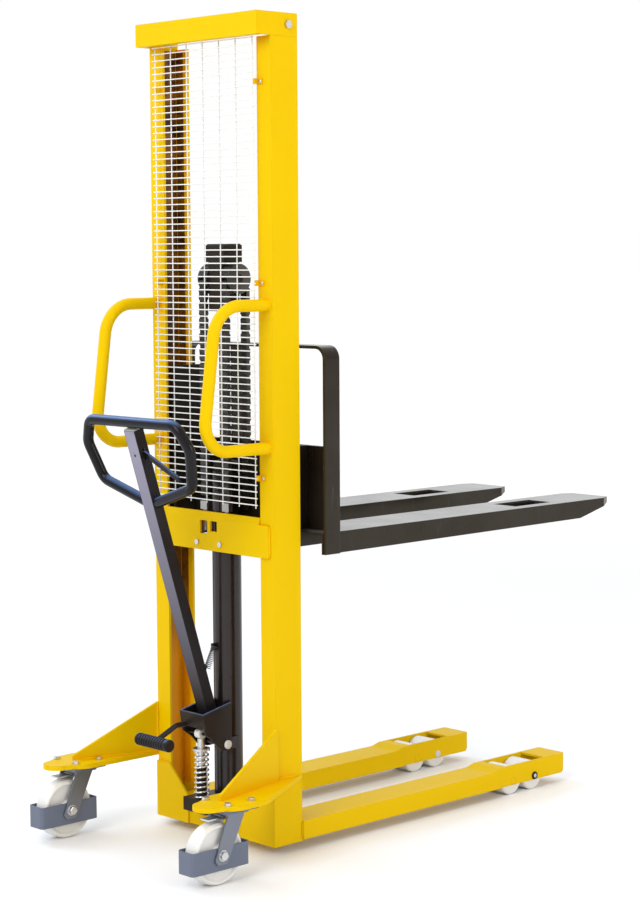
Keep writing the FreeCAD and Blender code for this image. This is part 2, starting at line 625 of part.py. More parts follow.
def make_caster():
    top = PLATE_BOTTOM_Z + CASTER_PLATE_T
    plate = block(CASTER_X - CASTER_PLATE_X / 2, CASTER_X + CASTER_PLATE_X / 2,
                  SWIVEL_Y - CASTER_PLATE_Y / 2, SWIVEL_Y + CASTER_PLATE_Y / 2, PLATE_BOTTOM_Z, top)
    king_low = CROWN_Z0 - WASHER_GAP
    king = Part.makeCylinder(KING_PIN_D / 2, top - king_low, vec(CASTER_X, SWIVEL_Y, king_low))
    nut = hexagon(vec(CASTER_X, SWIVEL_Y, king_low), Z_AXIS * -1, KING_NUT_HEX, KING_NUT_H)
    plate = fuse([plate, king, nut])
    bolts = []
    for x, y in caster_bolt_places():
        plate = plate.cut(rod(vec(x, y, top), Z_AXIS, CASTER_BOLT_D / 2, 4 * CASTER_PLATE_T))
        shank = rod(vec(x, y, (PAD_TOP_Z + PLATE_BOTTOM_Z) / 2), Z_AXIS, CASTER_BOLT_D / 2,
                    PAD_T + CASTER_PLATE_T)
        head = hexagon(vec(x, y, PAD_TOP_Z), Z_AXIS, CASTER_BOLT_HEX, CASTER_BOLT_HEAD_H)
        bolts.append(fuse([shank, head]))
    save("caster_plates", Part.makeCompound([plate, mirrored(plate)]))
    save("caster_plate_bolts", Part.makeCompound(bolts + [mirrored(bolt) for bolt in bolts]))

    axle = vec(CASTER_X, AXLE_Y, AXLE_Z)
    leg_in = GUARD_W / 2 + SLIP
    leg_out = leg_in + FORK_LEG_T
    crown = Part.makeCylinder(CROWN_R, CROWN_T, vec(CASTER_X, SWIVEL_Y, CROWN_Z0))
    legs = []
    for side in (-1, 1):
        x = CASTER_X + side * leg_in
        top = [vec(x, SWIVEL_Y + dy, CROWN_TOP_Z) for dy in FORK_LEG_TOP]
        foot = [vec(x, AXLE_Y + dy, AXLE_Z + dz) for dy, dz in FORK_LEG_FOOT]
        leg = prism(top + foot, X_AXIS * (side * FORK_LEG_T))
        legs.append(leg)
    bridge = block(CASTER_X - leg_out, CASTER_X + leg_out, SWIVEL_Y - CROWN_R, SWIVEL_Y + CROWN_R,
                   CROWN_Z0, CROWN_TOP_Z)
    shaft = rod(axle, X_AXIS, CASTER_AXLE_D / 2, 2 * leg_out)
    head = hexagon(axle + X_AXIS * leg_out, X_AXIS, CASTER_AXLE_HEX, CASTER_AXLE_HEAD_H)
    nut = hexagon(axle - X_AXIS * leg_out, X_AXIS * -1, CASTER_AXLE_HEX, CASTER_AXLE_NUT_H)
    brake_at = axle + vec(0, BRAKE_PIVOT_DY, BRAKE_PIVOT_DZ)
    pin = rod(brake_at, X_AXIS, BRAKE_PIN_D / 2, 2 * leg_in + FORK_LEG_T)
    fork = fuse([crown, bridge] + legs + [shaft, head, nut, pin])
    fork = fork.cut(rod(vec(CASTER_X, SWIVEL_Y, CROWN_Z0), Z_AXIS, KING_PIN_D / 2 + RUN_FIT, 4 * CROWN_T))
    save_pair("caster_fork", fork)

    guard = block(CASTER_X - GUARD_W / 2, CASTER_X + GUARD_W / 2, AXLE_Y - GUARD_L / 2,
                  AXLE_Y + GUARD_L / 2, GUARD_Z0, GUARD_Z0 + GUARD_H)
    uprights = [edge for edge in guard.Edges if abs(edge.Length - GUARD_H) < 0.01]
    guard = guard.makeFillet(GUARD_CORNER_R, uprights)
    hole = block(CASTER_X - GUARD_W / 2 + GUARD_T, CASTER_X + GUARD_W / 2 - GUARD_T,
                 AXLE_Y - GUARD_L / 2 + GUARD_T, AXLE_Y + GUARD_L / 2 - GUARD_T,
                 GUARD_Z0 - 1, GUARD_Z0 + GUARD_H + 1)
    uprights = [edge for edge in hole.Edges if abs(edge.Length - GUARD_H - 2) < 0.01]
    guard = guard.cut(hole.makeFillet(GUARD_CORNER_R - GUARD_T, uprights))
    guard = guard.cut(rod(axle, X_AXIS, CASTER_AXLE_D / 2 + RUN_FIT, 2 * GUARD_W))
    save_pair("toe_guard", guard)

    r = CASTER_WHEEL_D / 2
    half = CASTER_WHEEL_W / 2
    hub_half = CASTER_HUB_W / 2
    bore = CASTER_AXLE_D / 2 + RUN_FIT
    right = [(r, half - WHEEL_TREAD_ROUND), (r - WHEEL_TREAD_EDGE, half), (r - WHEEL_TREAD_DEPTH, half),
             (r - WHEEL_RIM_DEPTH, half - WHEEL_RIM_INSET), (WHEEL_WEB_R, half - WHEEL_WEB_INSET),
             (WHEEL_HUB_R, hub_half), (bore, hub_half)]
    left = [(radius, -x) for radius, x in reversed(right)]
    points = [axle + vec(x, 0, radius) for radius, x in left + right]
    face = Part.Face(Part.makePolygon(points + points[:1]))
    save_pair("caster_wheel", face.revolve(axle, X_AXIS, 360))

    tab = block(CASTER_X - BRAKE_TAB_W / 2, CASTER_X + BRAKE_TAB_W / 2, brake_at.y - BRAKE_TAB_L,
                brake_at.y, brake_at.z - BRAKE_TAB_T / 2, brake_at.z + BRAKE_TAB_T / 2)
    eye = rod(brake_at, X_AXIS, BRAKE_PIN_D / 2 + BRAKE_EYE_WALL, BRAKE_TAB_W)
    lever = fuse([tab, eye]).cut(rod(brake_at, X_AXIS, BRAKE_PIN_D / 2 + RUN_FIT, 2 * BRAKE_TAB_W))
    save_pair("brake_lever", lever)


def make_grab_handle():
    points = [vec(GRAB_X, 0, GRAB_TOP_Z), vec(GRAB_X, -GRAB_TOP_REACH, GRAB_TOP_Z),
              vec(GRAB_X, -GRAB_BOTTOM_REACH, GRAB_BOTTOM_Z), vec(GRAB_X, 0, GRAB_BOTTOM_Z)]
    path = rounded_path(points, [GRAB_TOP_R, GRAB_BOTTOM_R])
    outer = round_sweep(path, points[0], Y_AXIS, GRAB_TUBE_D / 2)
    inner = round_sweep(path, points[0], Y_AXIS, GRAB_TUBE_D / 2 - GRAB_WALL)
    save_pair("grab_handle", outer.cut(inner))


def make_mesh_guard():
    top = BEAM_Z0
    outer = Part.makePolygon([vec(x, MESH_Y, z) for x, z in
                              ((-MESH_HALF, MESH_Z0), (MESH_HALF, MESH_Z0), (MESH_HALF, top),
                               (-MESH_HALF, top), (-MESH_HALF, MESH_Z0))])
    pitch_x = (2 * MESH_HALF - MESH_WIRE) / MESH_COLUMNS
    pitch_z = (top - MESH_Z0 - MESH_WIRE) / MESH_ROWS
    gaps = []
    for column in range(MESH_COLUMNS):
        x0 = -MESH_HALF + MESH_WIRE + column * pitch_x
        x1 = x0 + pitch_x - MESH_WIRE
        for row in range(MESH_ROWS):
            z0 = MESH_Z0 + MESH_WIRE + row * pitch_z
            z1 = z0 + pitch_z - MESH_WIRE
            gaps.append(Part.makePolygon([vec(x0, MESH_Y, z0), vec(x0, MESH_Y, z1), vec(x1, MESH_Y, z1),
                                          vec(x1, MESH_Y, z0), vec(x0, MESH_Y, z0)]))
    net = Part.Face([outer] + gaps)
    net.validate()
    save("mesh_guard", net.extrude(vec(0, MESH_WIRE, 0)))

    clips = []
    for share in CLIP_AT:
        z = MESH_Z0 + share * (top - MESH_Z0)
        inner = MESH_HALF - CLIP_T
        foot = block(inner, inner + CLIP_W, -CLIP_T, 0, z - CLIP_H / 2, z + CLIP_H / 2)
        arm = block(inner, MESH_HALF, MESH_Y + MESH_WIRE, 0, z - CLIP_H / 2, z + CLIP_H / 2)
        clip = fuse([foot, arm])
        clips += [clip, mirrored(clip)]
    save("mesh_clips", Part.makeCompound(clips))


def make_cylinder():
    base = vec(0, CYL_Y, PUMP_TOP_Z)
    tube = Part.makeCylinder(CYL_D / 2, CYL_TOP_Z - PUMP_TOP_Z, base)
    bore_z = PUMP_TOP_Z + (CYL_D - CYL_BORE_D) / 2
    tube = tube.cut(Part.makeCylinder(CYL_BORE_D / 2, CYL_TOP_Z, vec(0, CYL_Y, bore_z)))
    lugs = []
    for side in (-1, 1):
        x = side * PIVOT_LUG_X
        lug = prism([vec(x, CYL_Y, PIVOT_Z + PIVOT_LUG_R), vec(x, CYL_Y, PIVOT_Z - PIVOT_LUG_R),
                     vec(x, 0, PIVOT_Z - PIVOT_LUG_R), vec(x, 0, PIVOT_Z + PIVOT_LUG_R)],
                    X_AXIS * (side * PIVOT_LUG_T))
        nose = rod(vec(x + side * PIVOT_LUG_T / 2, 0, PIVOT_Z), X_AXIS, PIVOT_LUG_R, PIVOT_LUG_T)
        lugs += [lug, nose]
    lug_x = PULL_SPRING_X - PULL_LUG_OFF
    spring_lug = block(lug_x - PULL_LUG_T, lug_x, PULL_SPRING_TOP_Y, CYL_Y - CYL_D / 4,
                       PULL_LUG_Z - PULL_LUG_HALF, PULL_LUG_Z + PULL_LUG_HALF / 2)
    keep_clear = rod(vec(0, CYL_Y, CYL_TOP_Z / 2), Z_AXIS, CYL_BORE_D / 2, CYL_TOP_Z)
    extras = lugs[0].multiFuse(lugs[1:]).cut(keep_clear)
    spring_lug = spring_lug.cut(keep_clear)
    pin_half = YOKE_X + YOKE_T + WASHER_GAP
    pin = rod(vec(0, 0, PIVOT_Z), X_AXIS, PIVOT_PIN_D / 2, 2 * pin_half)
    caps = [Part.makeCylinder(PIVOT_PIN_D / 2 + PIVOT_CAP_LIP, PIVOT_CAP_T, vec(side * pin_half, 0, PIVOT_Z), X_AXIS * side)
            for side in (-1, 1)]
    save("lift_cylinder", fuse([tube, extras, spring_lug, pin] + caps))

    gland_base = vec(0, CYL_Y, CYL_TOP_Z)
    gland = Part.makeCylinder(GLAND_D / 2, GLAND_H, gland_base)
    spigot = Part.makeCylinder(CYL_BORE_D / 2, GLAND_H, gland_base - Z_AXIS * GLAND_H)
    gland = fuse([gland, spigot]).cut(rod(gland_base, Z_AXIS, ROD_D / 2 + RUN_FIT, 4 * GLAND_H))
    rim = [edge for edge in gland.Edges
           if abs(edge.Length - math.pi * GLAND_D) < 1 and edge.BoundBox.ZMin > CYL_TOP_Z + 1]
    save("cylinder_gland", gland.makeChamfer(GLAND_CHAMFER, rim))

    shaft_low = HEAD_Z0 - ROD_L
    shaft = Part.makeCylinder(ROD_D / 2, ROD_L, vec(0, CYL_Y, shaft_low))
    piston = Part.makeCylinder(CYL_BORE_D / 2 - RUN_FIT, PISTON_H, vec(0, CYL_Y, shaft_low))
    save("piston_rod", fuse([shaft, piston]))


def make_chain_head():
    groove_half = CHAIN_W / 2 + WASHER_GAP
    outer_half = groove_half + SHEAVE_FLANGE_T
    web_half = CHAIN_X - outer_half - 2 * SLIP
    back = CYL_Y - HEAD_DEPTH / 2
    front = CYL_Y + HEAD_DEPTH / 2
    cap_z = SHEAVE_Z + SHEAVE_PITCH_R + CHAIN_LINK_H / 2 + HEAD_CAP_GAP
    web = block(-web_half, web_half, back, front, HEAD_Z0, cap_z)
    cap = block(-HEAD_HALF, HEAD_HALF, back, front, cap_z, HEAD_TOP_Z)
    cap = cap.makeChamfer(HEAD_CHAMFER, [edge for edge in cap.Edges if edge.BoundBox.ZMin > HEAD_TOP_Z - 1])
    axle_at = vec(0, CYL_Y, SHEAVE_Z)
    axle = rod(axle_at, X_AXIS, SHEAVE_AXLE_D / 2, 2 * (CHAIN_X + outer_half + 2 * SLIP))
    save("chain_head", fuse([web, cap, axle]))

    root_r = SHEAVE_PITCH_R - CHAIN_LINK_H / 2 - SLIP
    centre = axle_at + X_AXIS * CHAIN_X
    spool = rod(centre, X_AXIS, root_r, 2 * outer_half)
    flanges = [rod(centre + X_AXIS * (side * (groove_half + SHEAVE_FLANGE_T / 2)), X_AXIS,
                   SHEAVE_FLANGE_R, SHEAVE_FLANGE_T) for side in (-1, 1)]
    sheave = fuse([spool] + flanges).cut(rod(centre, X_AXIS, SHEAVE_AXLE_D / 2 + RUN_FIT, 4 * outer_half))
    save_pair("chain_sheave", sheave)

    links = round(math.pi * SHEAVE_PITCH_R / CHAIN_PITCH)
    step = math.pi / links
    pins = []
    for index in range(-1, links + 2):
        angle = math.pi - index * step
        pins.append((CYL_Y + SHEAVE_PITCH_R * math.cos(angle), SHEAVE_Z + SHEAVE_PITCH_R * math.sin(angle)))
    reach = 2 * SHEAVE_PITCH_R
    room = block(0, 2 * CHAIN_X, CYL_Y - reach, CYL_Y + reach, SHEAVE_Z, SHEAVE_Z + reach)
    wrap = leaf_chain(CHAIN_X, pins).common(room)
    save("chain_wraps", Part.makeCompound([wrap, mirrored(wrap)]))


def chain_plate(x0, width, pin, following, end_r, waist):
    """One waisted plate of a leaf chain over two pins, each given as (y, z)."""
    start = vec(x0, *pin)
    end = vec(x0, *following)
    along = (end - start).normalize()
    across = X_AXIS.cross(along)

    def around(centre, first):
        angles = [math.radians(first + 45 * corner) for corner in range(5)]
        return [centre + across * (end_r * math.cos(a)) + along * (end_r * math.sin(a)) for a in angles]

    middle = (start + end) * 0.5
    outline = around(end, 0) + [middle - across * waist] + around(start, 180) + [middle + across * waist]
    return prism(outline, X_AXIS * width)


def leaf_chain(x, pins):
    """Plates laced in three lanes: the outer lanes take every other pitch, the inner lane the rest."""
    lane = CHAIN_W / 3
    plates = []
    for index, (pin, following) in enumerate(zip(pins, pins[1:])):
        if index % 2:
            for x0 in (x - CHAIN_W / 2, x + CHAIN_W / 2 - lane):
                plates.append(chain_plate(x0, lane, pin, following, CHAIN_LINK_H / 2, CHAIN_NECK_H / 2))
        else:
            end_r = CHAIN_LINK_H / 2 - CHAIN_INNER_CUT
            plates.append(chain_plate(x - lane / 2, lane, pin, following, end_r,
                                      CHAIN_NECK_H / 2 - CHAIN_INNER_CUT))
    return plates[0].multiFuse(plates[1:])


def chain_strand(x, y, z0, z1):
    """A straight run of leaf chain with an even number of pitches."""
    links = 2 * round((z1 - z0) / CHAIN_PITCH / 2)
    pitch = (z1 - z0) / links
    pins = [(y, z0 + index * pitch) for index in range(-1, links + 2)]
    room = block(x - CHAIN_W, x + CHAIN_W, y - CHAIN_W, y + CHAIN_W, z0, z1)
    return leaf_chain(x, pins).common(room)


def make_chains():
    front = [chain_strand(side * CHAIN_X, FRONT_STRAND_Y, CHAIN_BOTTOM_Z, SHEAVE_Z) for side in (-1, 1)]
    save("front_chains", Part.makeCompound(front))
    back = [chain_strand(side * CHAIN_X, BACK_STRAND_Y, CHAIN_BOTTOM_Z, SHEAVE_Z) for side in (-1, 1)]
    save("back_chains", Part.makeCompound(back))

    inner = SIDE_PLATE_X
    bar_top = CHAIN_BOTTOM_Z - CHAIN_END_H / 2
    bar = block(-inner, inner, ANCHOR_BAR_Y, ANCHOR_BAR_Y + ANCHOR_BAR_T, bar_top - ANCHOR_BAR_H, bar_top)
    ends = []
    for side in (-1, 1):
        x = side * CHAIN_X
        ends.append(block(x - CHAIN_W / 2, x + CHAIN_W / 2, BACK_STRAND_Y - CHAIN_LINK_H / 2, ANCHOR_BAR_Y,
                          CHAIN_BOTTOM_Z - CHAIN_END_H, CHAIN_BOTTOM_Z))
    save("chain_anchor_bar", fuse([bar] + ends))


def make_carriage():
    x0 = SIDE_PLATE_X
    x1 = x0 + SIDE_PLATE_T
    base = PLATE_BASE_Z + FORK_WALL
    back_of_front = CARRIAGE_FRONT_Y - FRONT_PLATE_T
    plate = prism([vec(x0, SIDE_Y0, base), vec(x0, SIDE_Y0, SIDE_TOP_Z), vec(x0, SIDE_Y1, SIDE_TOP_Z),
                   vec(x0, SIDE_Y1, FRONT_PLATE_TOP_Z), vec(x0, back_of_front, FRONT_PLATE_TOP_Z),
                   vec(x0, back_of_front, base)], X_AXIS * SIDE_PLATE_T)
    axle_end = MAST_ROLLER_X + MAST_ROLLER_W
    stubs = [Part.makeCylinder(MAST_ROLLER_AXLE_D / 2, axle_end - x1, vec(x1, CHANNEL_DEPTH / 2, z), X_AXIS)
             for z in MAST_ROLLER_Z]
    shoulders = [Part.makeCylinder(MAST_ROLLER_AXLE_D / 2 + MAST_ROLLER_SHOULDER, MAST_ROLLER_X - SLIP - x1,
                                   vec(x1, CHANNEL_DEPTH / 2, z), X_AXIS) for z in MAST_ROLLER_Z]
    save_pair("carriage_side", fuse([plate] + stubs + shoulders))

    for place, z in zip(("lower", "upper"), MAST_ROLLER_Z):
        centre = vec(MAST_ROLLER_X + MAST_ROLLER_W / 2, CHANNEL_DEPTH / 2, z)
        save_pair(f"mast_roller_{place}", ring(centre, X_AXIS, MAST_ROLLER_D / 2,
                                               MAST_ROLLER_AXLE_D / 2 + RUN_FIT, MAST_ROLLER_W))

    front = block(-FORK_OUTER, FORK_OUTER, back_of_front, CARRIAGE_FRONT_Y, FORK_TOP_Z, FRONT_PLATE_TOP_Z)
    save("carriage_front_plate", front)

    outer = FORK_OUTER
    inner = FORK_OUTER - FORK_W
    low = FORK_TOP_Z - FORK_H
    taper_y = FORK_TIP_Y - FORK_TAPER_L

    def side_profile(x, inset):
        top = FORK_TOP_Z - inset
        return [vec(x, FORK_HEEL_Y - inset, low - inset), vec(x, taper_y, low + FORK_TAIL_RISE - inset),
                vec(x, FORK_TIP_Y - inset, FORK_TOP_Z - FORK_TIP_H), vec(x, FORK_TIP_Y - inset, top),
                vec(x, FORK_HEEL_Y - inset, top)]

    body = prism(side_profile(inner, 0), X_AXIS * FORK_W)
    corners = []
    for x, side in ((inner, 1), (outer, -1)):
        corners.append(prism([vec(x, FORK_TIP_Y + 1, low), vec(x + side * FORK_TIP_CHAMFER, FORK_TIP_Y + 1, low),
                              vec(x, FORK_TIP_Y - 2 * FORK_TIP_CHAMFER, low)], vec(0, 0, FORK_H + 1)))
    body = body.cut(corners[0]).cut(corners[1])
    hollow = prism([vec(inner + FORK_WALL, FORK_HEEL_Y - 1, low - 1),
                    vec(inner + FORK_WALL, taper_y, low - 1),
                    vec(inner + FORK_WALL, taper_y, FORK_TOP_Z - FORK_WALL),
                    vec(inner + FORK_WALL, FORK_HEEL_Y - 1, FORK_TOP_Z - FORK_WALL)],
                   X_AXIS * (FORK_W - 2 * FORK_WALL))
    body = body.cut(hollow)
    body = body.cut(block(FORK_MID - CUTOUT_W / 2, FORK_MID + CUTOUT_W / 2, CUTOUT_Y0, CUTOUT_Y0 + CUTOUT_L,
                          FORK_TOP_Z - 2 * FORK_WALL, FORK_TOP_Z + 1))
    groove = block(inner - 1, outer + 1, CARRIAGE_FRONT_Y, CARRIAGE_FRONT_Y + WELD_GROOVE_W,
                   FORK_TOP_Z - WELD_GROOVE_D, FORK_TOP_Z + 1)
    save_pair("fork", body.cut(groove))

    x = FORK_OUTER + REST_BAR_T / 2
    top = REST_TOP_Z - REST_BAR_T / 2
    y = CARRIAGE_FRONT_Y - REST_BAR_D
    path = rounded_path([vec(-x, y, low), vec(-x, y, top), vec(x, y, top), vec(x, y, low)], [REST_R, REST_R])
    section = Part.makePolygon([vec(-x - REST_BAR_T / 2, y, low), vec(-x + REST_BAR_T / 2, y, low),
                                vec(-x + REST_BAR_T / 2, y + REST_BAR_D, low),
                                vec(-x - REST_BAR_T / 2, y + REST_BAR_D, low),
                                vec(-x - REST_BAR_T / 2, y, low)])
    hoop = swept(path, section)
    bars = [block(side * REST_INNER_X - REST_BAR_T / 2, side * REST_INNER_X + REST_BAR_T / 2, y,
                  CARRIAGE_FRONT_Y, FRONT_PLATE_TOP_Z, REST_TOP_Z - REST_BAR_T) for side in (-1, 1)]
    save("backrest", fuse([hoop] + bars))


def on_tiller(x, along, off=0.0):
    """A point on the tiller: along its length from the pivot, off towards the forks."""
    return vec(x, -along * math.sin(LEAN) + off * math.cos(LEAN),
               PIVOT_Z + along * math.cos(LEAN) + off * math.sin(LEAN))


def make_pump():
    block_y1 = CYL_Y + CYL_D / 2
    body = block(-PUMP_HALF, PUMP_HALF, PUMP_Y0, block_y1, BASE_TOP_Z, PUMP_TOP_Z)
    barrel_at = vec(0, PLUNGER_Y, PUMP_TOP_Z)
    barrel = Part.makeCylinder(BARREL_D / 2, BARREL_H, barrel_at)
    bore = Part.makeCylinder(PLUNGER_D / 2 + RUN_FIT, BARREL_H + 1, barrel_at)
    save("pump_base", fuse([body, barrel]).cut(bore))

    stem_z0 = PUMP_TOP_Z + BARREL_H / 2
    stem_z1 = PIVOT_Z + PUSH_ROLLER_DZ - PUSH_ROLLER_D / 2 - SLIP
    stem = Part.makeCylinder(PLUNGER_D / 2, stem_z1 - stem_z0, vec(0, PLUNGER_Y, stem_z0))
    collar = Part.makeCylinder(COLLAR_D / 2, COLLAR_T, vec(0, PLUNGER_Y, COLLAR_Z))
    save("pump_plunger", fuse([stem, collar]))

    mean = (SPRING_D - SPRING_WIRE) / 2
    rise = COLLAR_Z - PUMP_TOP_Z - SPRING_WIRE - 2 * SPRING_END_GAP
    spring = coil("plunger_spring", mean, SPRING_WIRE, SPRING_TURNS, rise, SPRING_WIRE, SPRING_WIRE)
    spring.translate(vec(0, PLUNGER_Y, PUMP_TOP_Z + SPRING_WIRE / 2 + SPRING_END_GAP))
    save("plunger_spring", spring)


def make_tiller():
    back = PIVOT_LUG_R
    push_y = PUSH_ROLLER_DY
    jaw_y = push_y - YOKE_JAW
    jaw_z = PUSH_ROLLER_DZ + YOKE_JAW_RISE
    side_points = [(back, -back), (back, YOKE_RIM_BACK_Z), (-YOKE_FRONT, YOKE_RIM_FRONT_Z), (jaw_y, jaw_z),
                   (push_y + YOKE_HEEL_Y, PUSH_ROLLER_DZ - YOKE_HEEL_DROP), (-back, -back)]
    plates = []
    for side in (-1, 1):
        x = side * YOKE_X
        plates.append(prism([vec(x, y, PIVOT_Z + z) for y, z in side_points], X_AXIS * (side * YOKE_T)))
    edge = YOKE_X + YOKE_T
    lean_out = (YOKE_FRONT + jaw_y) / (YOKE_RIM_FRONT_Z - jaw_z)
    face_low = PUSH_ROLLER_DZ + YOKE_FACE_RISE
    y_low = jaw_y - lean_out * (face_low - jaw_z)
    front = prism([vec(-edge, -YOKE_FRONT, PIVOT_Z + YOKE_RIM_FRONT_Z), vec(-edge, y_low, PIVOT_Z + face_low),
                   vec(-edge, y_low + YOKE_T, PIVOT_Z + face_low),
                   vec(-edge, -YOKE_FRONT + YOKE_T, PIVOT_Z + YOKE_RIM_FRONT_Z)], X_AXIS * (2 * edge))
    web_z = on_tiller(0, TILLER_START).z - YOKE_WEB_DROP
    web_back = CYL_Y - CYL_D / 2 - YOKE_CLEAR
    web = block(-YOKE_X, YOKE_X, -YOKE_FRONT + YOKE_T, web_back, web_z - YOKE_T, web_z)
    push_at = vec(0, push_y, PIVOT_Z + PUSH_ROLLER_DZ)
    push_pin = rod(push_at, X_AXIS, PUSH_PIN_D / 2, 2 * YOKE_X + YOKE_T)
    arm_x = PEDAL_X
    grip_at = vec(PEDAL_X, PEDAL_DY, PIVOT_Z + PEDAL_DZ)
    arm_z = PIVOT_Z + YOKE_RIM_FRONT_Z - PEDAL_ARM_DROP
    arm_path = [vec(arm_x, -YOKE_FRONT + 2 * YOKE_T, arm_z), vec(arm_x, -YOKE_FRONT - PEDAL_ARM_OUT, arm_z), grip_at]
    arm = round_sweep(rounded_path(arm_path, [PEDAL_ARM_R]), arm_path[0], Y_AXIS, PEDAL_BAR_D / 2)
    spindle = rod(grip_at, X_AXIS, PEDAL_SPINDLE_D / 2, PEDAL_L - 2 * PEDAL_END_WALL)
    yoke = fuse(plates + [front, web, push_pin, arm, spindle])
    yoke = yoke.cut(rod(vec(0, 0, PIVOT_Z), X_AXIS, PIVOT_PIN_D / 2 + RUN_FIT, 4 * edge))
    save("tiller_yoke", yoke)

    roller = ring(push_at, X_AXIS, PUSH_ROLLER_D / 2, PUSH_PIN_D / 2 + RUN_FIT, PUSH_ROLLER_W)
    save("push_roller", roller)

    grip = rod(grip_at, X_AXIS, PEDAL_D / 2, PEDAL_L)
    ends = [edge for edge in grip.Edges if abs(edge.Length - math.pi * PEDAL_D) < 0.1]
    grip = grip.makeFillet(PEDAL_ROUND, ends).cut(spindle)
    save("pedal_grip", grip.cut(arm))

    def bar(width, depth, start, end):
        half = depth / 2
        return prism([on_tiller(-width / 2, start, -half), on_tiller(-width / 2, end, -half),
                      on_tiller(-width / 2, end, half), on_tiller(-width / 2, start, half)],
                     X_AXIS * width)

    tube = bar(TILLER_W, TILLER_DEPTH, TILLER_START, TILLER_END)
    tube = tube.cut(bar(TILLER_W - 2 * TILLER_WALL, TILLER_DEPTH - 2 * TILLER_WALL,
                        TILLER_START - 1, TILLER_END + 1))
    under = block(-TILLER_W, TILLER_W, -YOKE_FRONT, YOKE_FRONT, PIVOT_Z, web_z)
    lug_x = PULL_SPRING_X - PULL_LUG_OFF
    lug_off = TILLER_DEPTH / 2 - TILLER_WALL / 2
    lug_end = TILLER_DEPTH / 2 + 2 * PULL_SPRING_OFF
    lug = prism([on_tiller(lug_x - PULL_LUG_T, PULL_SPRING_S + along, off) for along, off in
                 ((-PULL_LUG_HALF, lug_off), (PULL_LUG_HALF, lug_off), (PULL_LUG_HALF, PULL_SPRING_OFF + lug_off),
                  (0, lug_end), (-PULL_LUG_HALF, PULL_SPRING_OFF + lug_off))], X_AXIS * PULL_LUG_T)
    tube = fuse([tube.cut(under), lug])
    lever_at = on_tiller(0, LEVER_PIVOT_S)
    lean_axis = on_tiller(0, 1) - on_tiller(0, 0)
    normal = X_AXIS.cross(lean_axis)
    slot_end = LEVER_W / 2 + LEVER_SLOT_GAP
    slot_off = LEVER_T / 2 + SLIP
    slot = prism([on_tiller(0, LEVER_PIVOT_S + along, off) for along, off in
                  ((-slot_end, -slot_off), (slot_end, -slot_off), (slot_end, slot_off), (-slot_end, slot_off))],
                 X_AXIS * TILLER_W)
    tube = tube.cut(rod(lever_at, normal, LEVER_PIN_D / 2, 2 * TILLER_DEPTH)).cut(slot)
    save("tiller_tube", tube)

    half = TILLER_W / 2
    bends = [(half, LOOP_FOOT_DROP), (LOOP_HIP_HALF, LOOP_HIP_DROP), (LOOP_WIDE_HALF, LOOP_WIDE_DROP),
             (LOOP_TOP_HALF, 0)]
    loop_points = [on_tiller(-x, LOOP_TOP_S - drop) for x, drop in bends]
    loop_points += [on_tiller(x, LOOP_TOP_S - drop) for x, drop in reversed(bends)]
    path = rounded_path(loop_points, [LOOP_R] * (len(loop_points) - 2))
    heading = loop_points[1] - loop_points[0]
    loop = round_sweep(path, loop_points[0], heading, LOOP_TUBE_D / 2)
    loop = loop.cut(bar(TILLER_W, TILLER_DEPTH, TILLER_START, TILLER_END))
    save("tiller_loop", loop)

    lever_half = LEVER_W / 2
    neck = half + LEVER_NECK
    outline = [on_tiller(x, LEVER_PIVOT_S + along, LEVER_T / 2) for x, along in
               ((-lever_half, lever_half), (neck, lever_half), (LEVER_REACH, lever_half - LEVER_DROP),
                (LEVER_REACH, -lever_half - LEVER_DROP), (neck, -lever_half), (-lever_half, -lever_half))]
    lever = prism(outline, normal * LEVER_T)
    pin = rod(lever_at, normal, LEVER_PIN_D / 2 - RUN_FIT, TILLER_DEPTH)
    save("release_lever", fuse([lever, pin]))


def make_pull_spring():
    low = on_tiller(PULL_SPRING_X, PULL_SPRING_S, TILLER_DEPTH / 2 + PULL_SPRING_OFF)
    high = vec(PULL_SPRING_X, PULL_SPRING_TOP_Y, PULL_LUG_Z)
    length = (high - low).Length
    mean = (PULL_SPRING_D - PULL_SPRING_WIRE) / 2
    lead = PULL_LUG_OFF - SLIP
    spring = coil("tiller_spring", mean, PULL_SPRING_WIRE, PULL_SPRING_TURNS, length, lead, lead)
    turn = FreeCAD.Rotation(Z_AXIS, high - low)
    spring.Placement = FreeCAD.Placement(low, turn)
    save("tiller_spring", spring)


os.makedirs("parts", exist_ok=True)
make_mast()
make_cross_plate()
make_leg()
make_caster_arm()
make_caster()
make_grab_handle()
make_mesh_guard()
make_cylinder()
make_chain_head()
make_chains()
make_carriage()
make_pump()
make_tiller()
make_pull_spring()
print(len(saved), "nodes")
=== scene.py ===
import json
import math
from collections import namedtuple

import bmesh
import bpy
from mathutils import Matrix, Vector


